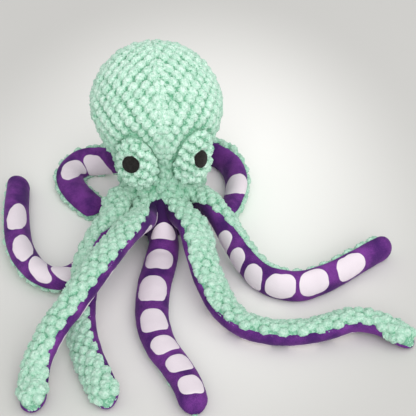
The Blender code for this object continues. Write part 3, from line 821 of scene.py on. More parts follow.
def smooth_curve(rows):
    """Smooth curve through all rows but the first and last, its knots spaced by two values."""
    rows = np.array(rows)
    knots = np.append(0, np.cumsum(np.sqrt(np.hypot(*np.diff(rows[:, :2], axis=0).T))))
    curve = []
    for i in range(1, len(rows) - 2):
        p0, p1, p2, p3 = rows[i - 1:i + 3]
        t0, t1, t2, t3 = knots[i - 1:i + 3]
        for t in np.linspace(t1, t2, ROUTE_SAMPLES, endpoint=False):
            a1 = ((t1 - t) * p0 + (t - t0) * p1) / (t1 - t0)
            a2 = ((t2 - t) * p1 + (t - t1) * p2) / (t2 - t1)
            a3 = ((t3 - t) * p2 + (t - t2) * p3) / (t3 - t2)
            b1 = ((t2 - t) * a1 + (t - t0) * a2) / (t2 - t0)
            b2 = ((t3 - t) * a2 + (t - t1) * a3) / (t3 - t1)
            curve.append(((t2 - t) * b1 + (t - t1) * b2) / (t2 - t1))
    return np.array(curve + [rows[-2]])


def round_directions(tilts, around):
    """Unit directions at tilts from +Z, with the given turns round it."""
    return np.stack(np.broadcast_arrays(np.sin(tilts) * np.cos(around),
                                        np.sin(tilts) * np.sin(around), np.cos(tilts)), axis=-1)


def turned_to(direction):
    """Matrix that turns +Z to a direction."""
    return np.array(Vector(direction.tolist()).normalized().to_track_quat("Z", "Y").to_matrix())


def linked(name, data):
    obj = bpy.data.objects.new(name, data)
    bpy.context.scene.collection.objects.link(obj)
    return obj


def stored(mesh, name, values):
    """Keeps a number or a direction at every point of a mesh."""
    kind, field = ("FLOAT_VECTOR", "vector") if values.ndim == 2 else ("FLOAT", "value")
    attribute = mesh.attributes.new(name, kind, "POINT")
    attribute.data.foreach_set(field, values.astype(np.float32).ravel())


def ring_sheet(name, grid, outward, values, print_map=None, around=False, poles=(None, None)):
    """Mesh object from a grid of points, with values kept at its points.

    around closes each row into a ring. poles are the points that close the first and last
    row, each with its outward direction.
    """
    rows, columns = grid.shape[:2]
    places = grid.reshape(-1, 3)
    directions = outward.reshape(-1, 3)
    index = np.arange(rows * columns).reshape(rows, columns)
    after = np.roll(index, -1, axis=1) if around else index[:, 1:]
    before = index if around else index[:, :-1]
    quads = np.stack((before[:-1], after[:-1], after[1:], before[1:]), axis=-1).reshape(-1, 4)
    faces = [tuple(quad) for quad in quads.tolist()]
    ends = []
    for pole, row, last in ((poles[0], 0, False), (poles[1], rows - 1, True)):
        if pole is None:
            continue
        at = len(places)
        ends.append(row * columns + columns // 2)
        places = np.vstack((places, pole[0]))
        directions = np.vstack((directions, pole[1]))
        pairs = zip(before[row].tolist(), after[row].tolist())
        faces += [(a, b, at) if last else (b, a, at) for a, b in pairs]
    a, b, c = (places[quads[:, i]] for i in (0, 1, 3))
    facing = np.einsum("ij,ij->i", np.cross(b - a, c - a), directions[quads[:, 0]])
    if np.sum(facing) < 0:
        faces = [face[::-1] for face in faces]
    mesh = bpy.data.meshes.new(name)
    mesh.from_pydata(places.tolist(), [], faces)
    stored(mesh, "outward", directions)
    for key, value in values.items():
        flat = np.broadcast_to(value, (rows, columns)).reshape(-1)
        stored(mesh, key, np.concatenate((flat, flat[ends])))
    if print_map is not None:
        flat = print_map.reshape(-1, 2)
        flat = np.vstack((flat, flat[ends]))
        corners = np.zeros(len(mesh.loops), np.int32)
        mesh.loops.foreach_get("vertex_index", corners)
        layer = mesh.uv_layers.new(name="print")
        layer.data.foreach_set("uv", flat[corners].astype(np.float32).ravel())
    return linked(name, mesh)


def lump_points(name, places, grains, rng):
    """Loose points at the lump centres, each with its size and the way its chain runs."""
    mesh = bpy.data.meshes.new(name)
    mesh.from_pydata(places.tolist(), [], [])
    stored(mesh, "lump_size", rng.uniform(*LUMP_SIZES, len(places)))
    stored(mesh, "grain", grains)
    return linked(name, mesh)


def plush_values(centres, spacing, radius_share, chains, gather):
    """Inputs of the lumpy plush for one piece."""
    plush = bpy.context.scene.octopus_plush
    return {
        "Lump Centres": centres,
        "Spacing": spacing,
        "Lump Radius": spacing * radius_share,
        "Chains": chains,
        "Lump Height": spacing * plush.lump_share,
        "Seam Depth": plush.seam_depth,
        "Fluff Height": plush.fluff_height,
        "Fluff Size": plush.fluff_size,
        "Gather Height": gather[0],
        "Gather Size": gather[1],
        "Seed": plush.seed,
        "Plush": shared(bpy.data.materials, "mint_popcorn_plush_cloth", plush_finish),
    }


def bake_plush(obj, values):
    baked(obj, shared(bpy.data.node_groups, "lumpy_plush", lumpy_plush_tree), values)


def bake_velour(obj):
    velour = bpy.context.scene.octopus_velour
    baked(obj, shared(bpy.data.node_groups, "printed_velour", printed_velour_tree), {
        "Dent Depth": velour.dent_depth,
        "Dent Size": velour.dent_size,
        "Sucker Raise": velour.sucker_raise,
        "Seed": bpy.context.scene.octopus_plush.seed,
        "Velour": shared(bpy.data.materials, "purple_printed_velour", velour_finish),
    })


# Arms


def arm_root(row):
    """Middle of the root section and its outward direction."""
    azimuth = math.radians(row["azimuth"])
    out = Vector((math.sin(azimuth), -math.cos(azimuth), 0))
    height = HIGH_CENTRE if row["high"] else LOW_CENTRE
    return out * ROOT_RADIUS + Vector((0, 0, height)), out


def arm_half_sizes(distances, length):
    """Half widths and half thicknesses of an arm's sections, rounded off at the tip."""
    distances = np.clip(distances, 0, length)
    swell = eased(distances / SWELL_LENGTH)
    taper = distances / length
    wide = ARM_ROOT_WIDTH + (ARM_WIDTH - ARM_ROOT_WIDTH) * swell
    wide = wide + (ARM_TIP_WIDTH - ARM_WIDTH) * taper * taper * swell
    thick = ARM_THICKNESS + (ARM_TIP_THICKNESS - ARM_THICKNESS) * taper * taper
    into_tip = np.maximum(distances - (length - wide / 2), 0)
    rounding = np.sqrt(np.maximum(1 - (into_tip / (wide / 2)) ** 2, 0))
    return wide / 2 * rounding, thick / 2 * rounding


def support(half_wide, half_thick, roll):
    """Height of a rolled section's highest corner over its middle."""
    angles = math.pi / ARM_HALF_STEPS * np.arange(ARM_HALF_STEPS + 1)
    return np.max(np.abs(half_thick * np.sin(angles) * math.cos(roll))
                  + np.abs(half_wide * np.cos(angles) * math.sin(roll)))


def arm_route(row):
    """Distances, centres and rolls along an arm, from its root to its tip."""
    root, out = arm_root(row)
    root_lift = root.z + FLAT_DEPTH - support(ARM_ROOT_WIDTH / 2, ARM_THICKNESS / 2, 0)
    rows = [(*(root + out * lead).xy, root_lift, row["roll"]) for lead in (0, ROOT_LEAD)]
    rows += [(x * ARM_REACH, y * ARM_REACH, lift * ARM_THICKNESS, roll)
             for x, y, lift, roll in row["route_shares"]]
    rows = np.array(rows)
    places = np.vstack((rows[:1], smooth_curve([*rows, 2 * rows[-1] - rows[-2]])))
    distances = path_lengths(places[:, :3])
    length = distances[-1]
    rolls = np.radians(places[:, 3])
    half_wide, half_thick = arm_half_sizes(np.minimum(distances, length - ARM_WIDTH / 2), length)
    heights = np.array([lift + support(wide, thick, roll) - FLAT_DEPTH for lift, wide, thick, roll
                        in zip(places[:, 2], half_wide, half_thick, rolls)])
    share = eased((distances - ROOT_LEAD) / (SWELL_LENGTH - ROOT_LEAD))
    centres = np.column_stack((places[:, :2], root.z + (heights - root.z) * share))
    distances = path_lengths(centres)
    return dict(distances=distances, centres=centres, rolls=rolls, length=distances[-1],
                out=np.array(out), middle=row["middle_share"] * distances[-1],
                bow=row.get("bow", 0.0))


def route_points(route, distances):
    """Centres at distances along the route, straight on before its root."""
    places = along_path(distances, route["distances"], route["centres"])
    return places + np.minimum(distances, 0)[:, None] * route["out"]


def bowed(route, places, distances):
    """Places lowered where a tip bows to the floor."""
    into_tip = np.clip((distances - route["length"]) / (ARM_TIP_WIDTH / 2) + 1, 0, 1)
    drop = route["bow"] * ARM_TIP_THICKNESS / 2 * (1 - np.sqrt(1 - into_tip ** 2))
    return places - drop[:, None] * UP


def route_frames(route, distances):
    """Centre, direction, up side and right side of the sections."""
    places = route_points(route, distances)
    ahead = route_points(route, np.minimum(distances + ROOT_LEAD / 2, route["length"]))
    behind = route_points(route, distances - ROOT_LEAD / 2)
    along = unit(ahead - behind)
    level = unit(np.cross(along, UP))
    up = np.cross(level, along)
    turn = np.interp(distances, route["distances"], route["rolls"])[:, None]
    return (places, along, up * np.cos(turn) + level * np.sin(turn),
            level * np.cos(turn) - up * np.sin(turn))


def even_angles(half_wide, half_thick, start, end, count):
    """Angles that divide each elliptic section evenly, and the length of each section."""
    dense = start[:, None] + (end - start)[:, None] * np.linspace(0, 1, ARC_SAMPLES)
    x = half_wide[:, None] * np.cos(dense)
    y = half_thick[:, None] * np.sin(dense)
    steps = np.hypot(np.diff(x, axis=1), np.diff(y, axis=1))
    lengths = np.concatenate((np.zeros((len(x), 1)), np.cumsum(steps, axis=1)), axis=1)
    shares = np.linspace(0, 1, count)
    angles = [np.interp(shares * row[-1], row, turns) for row, turns in zip(lengths, dense)]
    return np.array(angles), lengths[:, -1]


def grid_outward(grid, middle):
    """Outward directions of a grid whose rows run round the given middle points."""
    outward = unit(np.cross(np.gradient(grid, axis=1), np.gradient(grid, axis=0)))
    facing = np.einsum("ijk,ijk->", outward, grid - middle[:, None])
    return outward if facing > 0 else -outward


def arm_distances(route, step):
    """Row places from inside the body to the tip, and the row where the two covers join."""
    join = route["middle"] - JOIN_BEFORE_MIDDLE
    length = route["length"]
    radius = ARM_TIP_WIDTH / 2
    inner = np.linspace(-STUB_LENGTH, join, int((join + STUB_LENGTH) / step))
    outer = np.linspace(join, length - radius, int((length - radius - join) / step))
    turns = np.linspace(0, math.pi / 2, int(radius * math.pi / 2 / step) + 2)[1:-1]
    tip = length - radius * (1 - np.sin(turns))
    return np.concatenate((inner, outer[1:], tip)), len(inner) - 1


def arm_cover_grid(route, trims, distances, side, count):
    """Grid of one side of an arm, outward directions, places across it and its widths."""
    places, _, up, level = route_frames(route, distances)
    places = bowed(route, places, distances)
    half_wide, half_thick = arm_half_sizes(distances, route["length"])
    first, second = (np.radians(np.interp(distances, *zip(*table))) for table in trims)
    angles, widths = even_angles(half_wide, half_thick, side * first - HEM_ANGLE,
                                 math.pi + HEM_ANGLE - side * second, count)
    across = (half_wide[:, None] * np.cos(angles))[..., None] * level[:, None]
    over = (side * half_thick[:, None] * np.sin(angles))[..., None] * up[:, None]
    grid = places[:, None] + across + over
    outward = grid_outward(grid, places)
    grid[..., 2] = np.maximum(grid[..., 2], 0)
    return grid, outward, (np.linspace(0, 1, count) - 0.5) * widths[:, None], widths


def tucked(grid, outward, shift, values):
    """Adds a column at each edge that turns under the neighbouring cloth."""
    first, last = (grid[:, edge] - outward[:, edge] * TUCK_DEPTH - shift[:, None]
                   for edge in (slice(0, 1), slice(-1, None)))

    def widened(value):
        return np.concatenate((value[:, :1], value, value[:, -1:]), axis=1)

    return (np.concatenate((first, grid, last), axis=1), widened(outward),
            {key: widened(value) for key, value in values.items()})


def grid_sample(grid, row, column):
    """Places between the points of a grid."""
    low_row = np.clip(np.floor(row).astype(int), 0, grid.shape[0] - 2)
    low_column = np.clip(np.floor(column).astype(int), 0, grid.shape[1] - 2)
    r = (row - low_row)[:, None]
    c = (column - low_column)[:, None]
    near = grid[low_row, low_column] * (1 - c) + grid[low_row, low_column + 1] * c
    far = grid[low_row + 1, low_column] * (1 - c) + grid[low_row + 1, low_column + 1] * c
    return near * (1 - r) + far * r


def arm_lump_places(grid, distances, widths, spacing, rng):
    """Shifted rows of lump centres across an arm's plush side, and the way their chains run."""
    rows, columns = [], []
    count = grid.shape[1]
    row_numbers = np.arange(len(distances))
    starts = np.arange(-STUB_LENGTH / 2, distances[-1], spacing * ARM_GAP_SHARE)
    for step, place in enumerate(starts):
        number = np.interp(place, distances, widths) / (spacing * ARM_PITCH_SHARE)
        shares = np.arange(-math.ceil(number), math.ceil(number) + 1) + number / 2 + step % 2 * 0.5
        shares = (shares + rng.normal(0, ARM_SCATTER_SHARE, len(shares))) / number
        margin = ARM_EDGE_SHARE / number
        shares = shares[(shares > margin) & (shares < 1 - margin)]
        columns.extend(shares * (count - 1))
        scatter = rng.normal(0, ARM_SCATTER_SHARE * spacing, len(shares))
        rows.extend(np.interp(place + scatter, distances, row_numbers))
    rows = np.clip(rows, 0, len(distances) - 1.01)
    columns = np.clip(columns, 0, count - 1.01)
    places = grid_sample(grid, rows, columns)
    onward = unit(grid_sample(grid, np.minimum(rows + 1, len(distances) - 1), columns) - places)
    across = unit(grid_sample(grid, rows, np.minimum(columns + 1, count - 1)) - places)
    return places, unit(onward + across)


def arm_halves(route, join, tip_inset):
    """Name, rows and closing pole of the two covers on one side of an arm."""
    end = np.array([route["length"]])
    tip = bowed(route, route_points(route, end - tip_inset), end)[0]
    along = route_frames(route, end)[1][0]
    return ("inner", slice(0, join + 1), None), ("outer", slice(join, None), (tip, along))


def ride_arm(obj, name, half, route):
    """Bakes a cover's place into its mesh; points at the root and round the middle hinge are worked
    out but not used.
    """
    if half == "inner":
        root = route_points(route, np.array(ROOT_BEND))
        name + "_inner"
        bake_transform(obj)
    else:
        middle = route_points(route, route["middle"] + np.array((-MIDDLE_BEND, MIDDLE_BEND)))
        name + "_inner"
        name + "_outer"
        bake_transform(obj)


def arm_plush_covers(name, row):
    plush = bpy.context.scene.octopus_plush
    rng = np.random.default_rng(plush.seed + sorted(ARM_TABLE).index(name))
    route = arm_route(row)
    distances, join = arm_distances(route, PLUSH_STEP)
    grid, outward, across, widths = arm_cover_grid(
        route, row["trims"], distances, 1, int(COVER_WIDTH / PLUSH_STEP))
    edge = widths[:, None] / 2 - np.abs(across)
    # An even painted shade over the whole plush side of the arm
    values = {"seam": edge, "seam_pile": np.full_like(edge, SEAM_PILE),
              "press": np.zeros_like(edge), "shade": np.full_like(edge, ARM_PAINTED_SHADE)}
    places, grains = arm_lump_places(grid, distances, widths, plush.arm_spacing, rng)
    centres = lump_points(name + "_lumps", places, grains, rng)
    up = route_frames(route, distances)[2]
    grid, outward, values = tucked(grid, outward, up * TUCK_DROP, values)
    settings = plush_values(centres, plush.arm_spacing, ARM_LUMP_RADIUS, 0.0, ARM_GATHER)
    for half, rows, pole in arm_halves(route, join, 0.0):
        obj = ring_sheet("%s_%s_plush" % (name, half), grid[rows], outward[rows],
                         {key: value[rows] for key, value in values.items()}, poles=(None, pole))
        bake_plush(obj, settings)
        ride_arm(obj, name, half, route)
        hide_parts("%s_%s_top" % (name, half), "%s_%s_filling" % (name, half))
    bpy.data.objects.remove(centres)


def sucker_map(row, route, distances, across):
    """Two print coordinates that meet the unit circle on the edge of every sucker."""
    half_wide, _ = arm_half_sizes(distances, route["length"])
    usual = (None, 0, SUCKER_WIDTH)
    entries = [entry + usual[len(entry) - 1:] if isinstance(entry, tuple) else (entry, *usual)
               for entry in row["suckers"]]
    places, lengths, shifts, sizes = zip(*entries)
    half_width = np.interp(distances, places, sizes) / ARM_WIDTH * np.maximum(half_wide, NARROWEST)
    sideways = (across - np.interp(distances, places, shifts)[:, None]) / half_width[:, None]
    shifted = distances[:, None] + row.get("slant", 0.0) * across
    gaps = np.diff(places)
    gaps = np.concatenate((gaps[:1], gaps, gaps[-1:])) * SUCKER_LENGTH_SHARE
    knots, phases = [], []
    for number, (place, length) in enumerate(zip(places, lengths)):
        before, after = (length, length) if length else (gaps[number], gaps[number + 1])
        knots += [place - before / 2, place, place + after / 2]
        phases += [number * 4 - 1, number * 4, number * 4 + 1]
    phase = np.interp(shifted, [knots[0] - SUCKER_FADE] + knots + [knots[-1] + SUCKER_FADE],
                      [-2] + phases + [phases[-1] + 1])
    along = np.abs(phase - 4 * np.round(phase / 4))
    power = row.get("corner", SUCKER_CORNER) / 2
    return np.stack((np.sign(sideways) * np.abs(sideways) ** power, along ** power), axis=-1)


def arm_velour_covers(name, row):
    route = arm_route(row)
    distances, join = arm_distances(route, VELOUR_STEP)
    grid, outward, across, widths = arm_cover_grid(
        route, row["trims"], distances, -1, int(COVER_WIDTH / VELOUR_STEP))
    edge = widths[:, None] / 2 - np.abs(across)
    inset = VELOUR_INSET + HEM_INSET * np.clip(1 - edge / HEM_REACH, 0, 1)
    grid = grid - outward * inset[..., None]
    grid[..., 2] = np.maximum(grid[..., 2], 0)
    if name == "arm_front":
        rise = FRONT_ROOT_RISE * faded(distances, 0, FRONT_RISE_REACH)
        grid[..., 2] += rise[:, None] * np.maximum(outward[..., 2], 0)
    print_map = sucker_map(row, route, distances, across)
    inner_edge, outer_edge = SUCKER_EDGE
    sucker = (outer_edge - (print_map ** 2).sum(axis=-1)) / (outer_edge - inner_edge)
    # Painted shade on the velour near the root, fading out along the arm
    shade = VELOUR_PAINTED_SHADE * faded(distances, *VELOUR_PAINTED_SHADE_REACH)[:, None]
    values = {"sucker": np.clip(sucker, 0, 1), "shade": np.broadcast_to(shade, sucker.shape)}
    for half, rows, pole in arm_halves(route, join, VELOUR_TIP_INSET):
        obj = ring_sheet("%s_%s_velour" % (name, half), grid[rows], outward[rows],
                         {key: value[rows] for key, value in values.items()}, print_map[rows],
                         poles=(None, pole))
        bake_velour(obj)
        ride_arm(obj, name, half, route)
        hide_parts("%s_%s_under" % (name, half))


# Head and eyes


def head_lean(heights, sideways=VISIBLE_SIDEWAYS):
    """How far the head's axis has shifted at each height."""
    share = np.clip((np.asarray(heights) - NECK_Z) / HEAD_HEIGHT, 0, 1)
    sway = np.sin(math.pi / 2 * share)
    return np.stack((-sideways * sway, HEAD_LEAN * sway, np.zeros_like(sway)), axis=-1)


@functools.lru_cache(maxsize=8)
def head_outline(step):
    """Radii and heights along the head's outline, evenly spaced from the base to the crown."""
    rows = [(ROOT_RADIUS - GAP, BASE_TOP), (ROOT_RADIUS - GAP, (BASE_TOP + NECK_Z) / 2)]
    rows += [(VISIBLE_RADIUS * radius, NECK_Z + VISIBLE_HEIGHT * share)
             for share, radius in HEAD_OUTLINE_SHARES]
    rows = np.array(rows + [(0.0, NECK_Z + VISIBLE_HEIGHT + GAP)])
    curve = smooth_curve([2 * rows[0] - rows[1], *rows, rows[-2] * (-1, 1)])
    lengths = path_lengths(curve)
    even = np.linspace(0, lengths[-1], int(lengths[-1] / step) + 1)
    return along_path(even, lengths, curve).T


def head_places(radii, heights, angles, side):
    """Points of the head at angles from its front seam."""
    flat = np.cos(angles)[..., None] * FORWARD + side * np.sin(angles)[..., None] * RIGHT
    return radii[..., None] * flat + head_lean(heights) + heights[..., None] * UP


def outside_head(points):
    """How far points stand out of the head's surface."""
    radii, heights = head_outline(OUTLINE_STEP)
    level = points - head_lean(points[..., 2])
    away = np.hypot(level[..., 0], level[..., 1])
    return away - np.interp(points[..., 2], heights, radii)


def rays_to_head(middle, directions):
    """Where straight lines from the middle of the head leave it."""
    near = np.zeros(directions.shape[:-1])
    far = near + RAY_REACH
    for _ in range(RAY_HALVINGS):
        half = (near + far) / 2
        outside = outside_head(middle + directions * half[..., None]) > 0
        near, far = np.where(outside, near, half), np.where(outside, half, far)
    return middle + directions * near[..., None]


def row_lumps(curve, onward, number, pitch):
    """Lump centres on a row from the front seam to the back seam, and the way chains run."""
    lengths = path_lengths(curve)
    shift = number * ROW_SHIFT % 1
    along = (np.arange(-1, math.ceil(lengths[-1] / pitch) + 1) + shift) * pitch
    overrun = ROW_OVERRUN_SHARE * pitch
    along = along[(along > -overrun) & (along < lengths[-1] + overrun)]
    along = np.clip(along, ROW_SEAM_SHARE * pitch, lengths[-1] - ROW_SEAM_SHARE * pitch)
    chains = unit(unit(np.gradient(curve, axis=0)) - unit(onward))
    return along_path(along, lengths, curve), along_path(along, lengths, chains)


def head_lump_places(side, spacing, tilt, rng):
    """Lump centres of one half: rows round an axis that leans backwards, level rows on the neck."""
    pole = UP * math.cos(tilt) - FORWARD * math.sin(tilt)
    front = UP * math.sin(tilt) + FORWARD * math.cos(tilt)
    height = NECK_Z + ROW_AXIS_SHARE * HEAD_HEIGHT
    middle = head_lean(height) + UP * height
    turns = np.radians(np.arange(0, 181, RAY_STEP))

    def curve(latitude):
        level = front * np.cos(turns)[:, None] + RIGHT * side * np.sin(turns)[:, None]
        return rays_to_head(middle, level * math.cos(latitude) + pole * math.sin(latitude))

    latitudes = np.radians(np.arange(-88, 89, RAY_STEP))
    lengths = path_lengths(np.array([curve(latitude)[GUIDE_TURN] for latitude in latitudes]))
    pitch = spacing * ROW_PITCH_SHARE
    gap = spacing * ROW_GAP_SHARE
    places, grains = [], []
    for number, length in enumerate(np.arange(spacing / 2, lengths[-1], gap)):
        latitude = np.interp(length, lengths, latitudes)
        row = curve(latitude)
        found, chains = row_lumps(row, curve(latitude + LATITUDE_STEP) - row, number, pitch)
        keep = found[:, 2] > NECK_ROWS_TOP
        places.append(found[keep])
        grains.append(chains[keep])
    for number, (radius, height) in enumerate(zip(*head_outline(gap))):
        if height > NECK_ROWS_TOP + spacing * NECK_OVERLAP_SHARE:
            break
        row = head_places(np.full(len(turns), radius), np.full(len(turns), height), turns, side)
        found, chains = row_lumps(row, np.broadcast_to(UP, row.shape), number, pitch)
        gaps = np.linalg.norm(found[:, None] - np.vstack(places)[None], axis=-1).min(axis=1)
        keep = gaps > spacing * NECK_CLEAR_SHARE
        places.append(found[keep])
        grains.append(chains[keep])
    places = np.vstack(places)
    return (places + rng.normal(0, HEAD_SCATTER_SHARE * spacing, places.shape),
            np.vstack(grains))


def mound_place(side):
    """Middle of an eye mound and the direction that its eye looks."""
    height = NECK_Z + HEAD_HEIGHT * MOUND_HEIGHT_SHARE
    out, level = (FORWARD * math.cos(turn) + RIGHT * side * math.sin(turn)
                  for turn in (MOUND_SPREAD, MOUND_SPREAD - EYE_TURN_IN))
    place = head_lean(height, HEAD_SIDEWAYS) + UP * height + out * MOUND_OFFSET
    return place, level * math.cos(EYE_TILT_UP) + UP * math.sin(EYE_TILT_UP)


def mound_form(side):
    """Middle, axes as rows and half sizes of a mound's visible form, and the seat of its eye."""
    place, look = mound_place(side)
    axes = np.array((RIGHT, FORWARD, UP))
    shares = np.array((1, 1, MOUND_UP_SHARE))
    seat = place + look * MOUND_RADIUS
    middle = place + look * MOUND_SHIFT_OUT - RIGHT * side * MOUND_SHIFT_IN[side]
    middle = middle + UP * MOUND_SHIFT_UP
    return middle, axes, shares * fullness(axes @ (seat - middle) / shares), seat


def fullness(local):
    """Size of the unit mound form that a place is on."""
    level = np.hypot(local[..., 0], local[..., 1])
    total = level ** MOUND_FULLNESS + np.abs(local[..., 2]) ** MOUND_FULLNESS
    return total ** (1 / MOUND_FULLNESS)


def eye_ball(side):
    """Middle of the ball that an eye's disc follows, and the direction that the eye looks."""
    _, look = mound_place(side)
    turn = EYE_TURN_OUT[side] * side
    look = np.array((look[0] * math.cos(turn) - look[1] * math.sin(turn),
                     look[0] * math.sin(turn) + look[1] * math.cos(turn), look[2]))
    return mound_form(side)[3] - look * MOUND_RADIUS, look


def outside_mound(points, side):
    """How far points stand out of a mound's visible form."""
    middle, axes, sizes, _ = mound_form(side)
    return (fullness((points - middle) @ axes.T / sizes) - 1) * MOUND_RADIUS


def mound_crease(distance):
    """Seam distance and painted shade of the crease between a mound and the head."""
    distance = np.maximum(distance, 0)
    return (distance * MOUND_CREASE_SHARE,
            MOUND_CREASE_PAINTED_SHADE * faded(distance, 0, MOUND_CREASE_REACH))


def build_head_plush():
    plush = bpy.context.scene.octopus_plush
    radii, heights = head_outline(PLUSH_STEP)[:, :-1]
    flat = unit(np.stack((np.gradient(heights), -np.gradient(radii)), axis=-1))
    top = NECK_Z + VISIBLE_HEIGHT
    crown = head_lean(top) + UP * (top + GAP)
    angles = np.linspace(0, math.pi, int(math.pi * DOME_RADIUS / PLUSH_STEP))
    radii, heights, spread = np.broadcast_arrays(radii[:, None], heights[:, None], angles)
    for side, label in SIDES:
        rng = np.random.default_rng(plush.seed + side)
        lumps, grains = head_lump_places(side, plush.head_spacing, plush.row_tilt, rng)
        centres = lump_points("head_lumps_" + label, lumps, grains, rng)
        grid = head_places(radii, heights, spread, side)
        round_way = np.cos(spread)[..., None] * FORWARD + side * np.sin(spread)[..., None] * RIGHT
        outward = flat[:, :1, None] * round_way + flat[:, 1:, None] * UP
        from_mounds = np.minimum(outside_mound(grid, -1), outside_mound(grid, 1))
        grid = grid - outward * (MOUND_SINK * faded(from_mounds, 0, MOUND_SINK_REACH))[..., None]
        seam = radii * np.minimum(spread, math.pi - spread)
        # Painted shade on the head: darker in a ring round the mounds, towards the neck and in the
        # crease at each mound; the ring round the mounds is also pressed
        crease, crease_painted_shade = mound_crease(from_mounds - MOUND_CREASE)
        sewn_and_shaded = faded(from_mounds, 0, MOUND_SEWN_REACH)
        low = faded(heights - NECK_Z, *LOW_HEAD_REACH)
        values = {
            "seam": np.minimum(seam, crease),
            "seam_pile": np.where(crease < seam, MOUND_CREASE_PILE, HEAD_SEAM_PILE),
            "press": sewn_and_shaded * SEWN_PRESS,
            "shade": np.maximum(np.maximum(sewn_and_shaded * FACE_PAINTED_SHADE, low * LOW_HEAD_PAINTED_SHADE), crease_painted_shade),
        }
        obj = ring_sheet("head_plush_" + label, grid, outward, values, poles=(None, (crown, UP)))
        bake_plush(obj, plush_values(centres, plush.head_spacing, HEAD_LUMP_RADIUS,
                                     plush.chain_share, HEAD_GATHER))
        bpy.data.objects.remove(centres)
        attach(obj, "body")
        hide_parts("head_%s_panel" % label, "head_filling")


def mound_directions(side):
    """Directions of a mound's points in rows from its eye to its back, in its own axes."""
    middle, axes, sizes, seat = mound_form(side)
    half_round = math.pi * MOUND_RADIUS * MOUND_ROUND_SHARE
    tilts = np.linspace(0, math.pi, int(half_round / PLUSH_STEP))[1:-1, None]
    columns = int(2 * half_round / PLUSH_STEP)
    local = round_directions(tilts, np.arange(columns) * 2 * math.pi / columns)
    return local @ turned_to(axes @ (seat - middle) / sizes).T


def mound_surface(local, side):
    """Places on a mound, flattened to the eye's ball, outward directions and ways to the eye."""
    middle, axes, sizes, seat = mound_form(side)
    ball, _ = eye_ball(side)
    local = local / fullness(local)[..., None]
    grid = middle + local * sizes @ axes
    level = np.hypot(local[..., 0], local[..., 1])[..., None]
    slope = np.concatenate((
        local[..., :2] * np.maximum(level, 1e-6) ** (MOUND_FULLNESS - 2),
        np.sign(local[..., 2:]) * np.abs(local[..., 2:]) ** (MOUND_FULLNESS - 1)), axis=-1)
    outward = unit(slope / sizes @ axes)
    from_eye = np.linalg.norm(grid - seat, axis=-1)
    seated = faded(from_eye, EYE_RADIUS, EYE_RADIUS + EYE_SEAT_WIDTH)[..., None]
    seat_side = unit(grid - ball)
    grid = grid + (ball + seat_side * MOUND_RADIUS - grid) * seated
    return grid, unit(outward + (seat_side - outward) * seated), from_eye


def even_directions(number, rng):
    """Directions spread evenly over a ball: a spiral, loosened and pushed apart again."""
    steps = np.arange(number) + 0.5
    tilts = np.arccos(1 - 2 * steps / number)
    points = round_directions(tilts, math.pi * (1 + math.sqrt(5)) * steps)
    gap = math.sqrt(4 * math.pi / number)
    points = unit(points + rng.normal(0, LOOSENING * gap, points.shape))
    for _ in range(PUSHES):
        away = points[:, None] - points[None]
        distance = np.linalg.norm(away, axis=-1) + np.eye(number)
        push = np.maximum(1 - distance / (PUSH_REACH * gap), 0) / distance
        points = unit(points + (away * push[..., None]).sum(axis=1) * gap * PUSH_SHARE)
    return points


def build_eye_mounds():
    plush = bpy.context.scene.octopus_plush
    lump_area = plush.mound_spacing ** 2 * math.sqrt(3) / 2
    number = int(4 * math.pi * (MOUND_RADIUS * MOUND_COVERED_SHARE) ** 2 / lump_area)
    for side, label in SIDES:
        rng = np.random.default_rng(plush.seed + MOUND_SEED_STEP + side)
        grid, outward, from_eye = mound_surface(mound_directions(side), side)
        # The crease where the mound meets the head gets painted shade
        seam, shade = mound_crease(outside_head(grid) + MOUND_SINK - MOUND_CREASE)
        values = {"seam": seam, "seam_pile": MOUND_CREASE_PILE, "shade": shade,
                  "press": faded(from_eye - EYE_RADIUS, *EYE_PRESS_REACH)}
        lumps, _, _ = mound_surface(even_directions(number, rng), side)
        centres = lump_points("mound_lumps_" + label, lumps, np.zeros(lumps.shape), rng)
        middle, _, _, seat = mound_form(side)
        ball, look = eye_ball(side)
        poles = ((ball + look * MOUND_RADIUS, look), (2 * middle - seat, unit(middle - seat)))
        obj = ring_sheet("eye_mound_plush_" + label, grid, outward, values, around=True,
                         poles=poles)
        settings = plush_values(centres, plush.mound_spacing, MOUND_LUMP_RADIUS, 0.0, MOUND_GATHER)
        settings["Lump Height"] *= MOUND_LUMP_SHARE
        bake_plush(obj, settings)
        bpy.data.objects.remove(centres)
        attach(obj, "body")
        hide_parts("eye_mound_" + label, "eye_mound_filling_" + label)


def felt_profile():
    """Tilts and radii of a felt disc's rows: back, outer wall, rounded edge and front."""
    back = MOUND_RADIUS - FELT_SINK
    front = MOUND_RADIUS + GAP + FELT_WALL
    reach = math.asin(EYE_RADIUS / front)
    edge = FELT_WALL * FELT_ROUND_SHARE
    corner = np.linspace(0, math.pi / 2, CORNER_ROWS)
    tilts = np.concatenate((
        np.linspace(reach * FELT_BACK_START, reach, FELT_BACK_ROWS, endpoint=False), [reach],
        reach - edge / front * (1 - np.cos(corner)),
        np.linspace(reach - edge / front, reach * FELT_FRONT_END, FELT_FRONT_ROWS)[1:]))
    radii = np.concatenate((
        np.full(FELT_BACK_ROWS, back), [front - 2 * edge], front - edge + edge * np.sin(corner),
        np.full(FELT_FRONT_ROWS - 1, front)))
    return tilts, radii, back, front


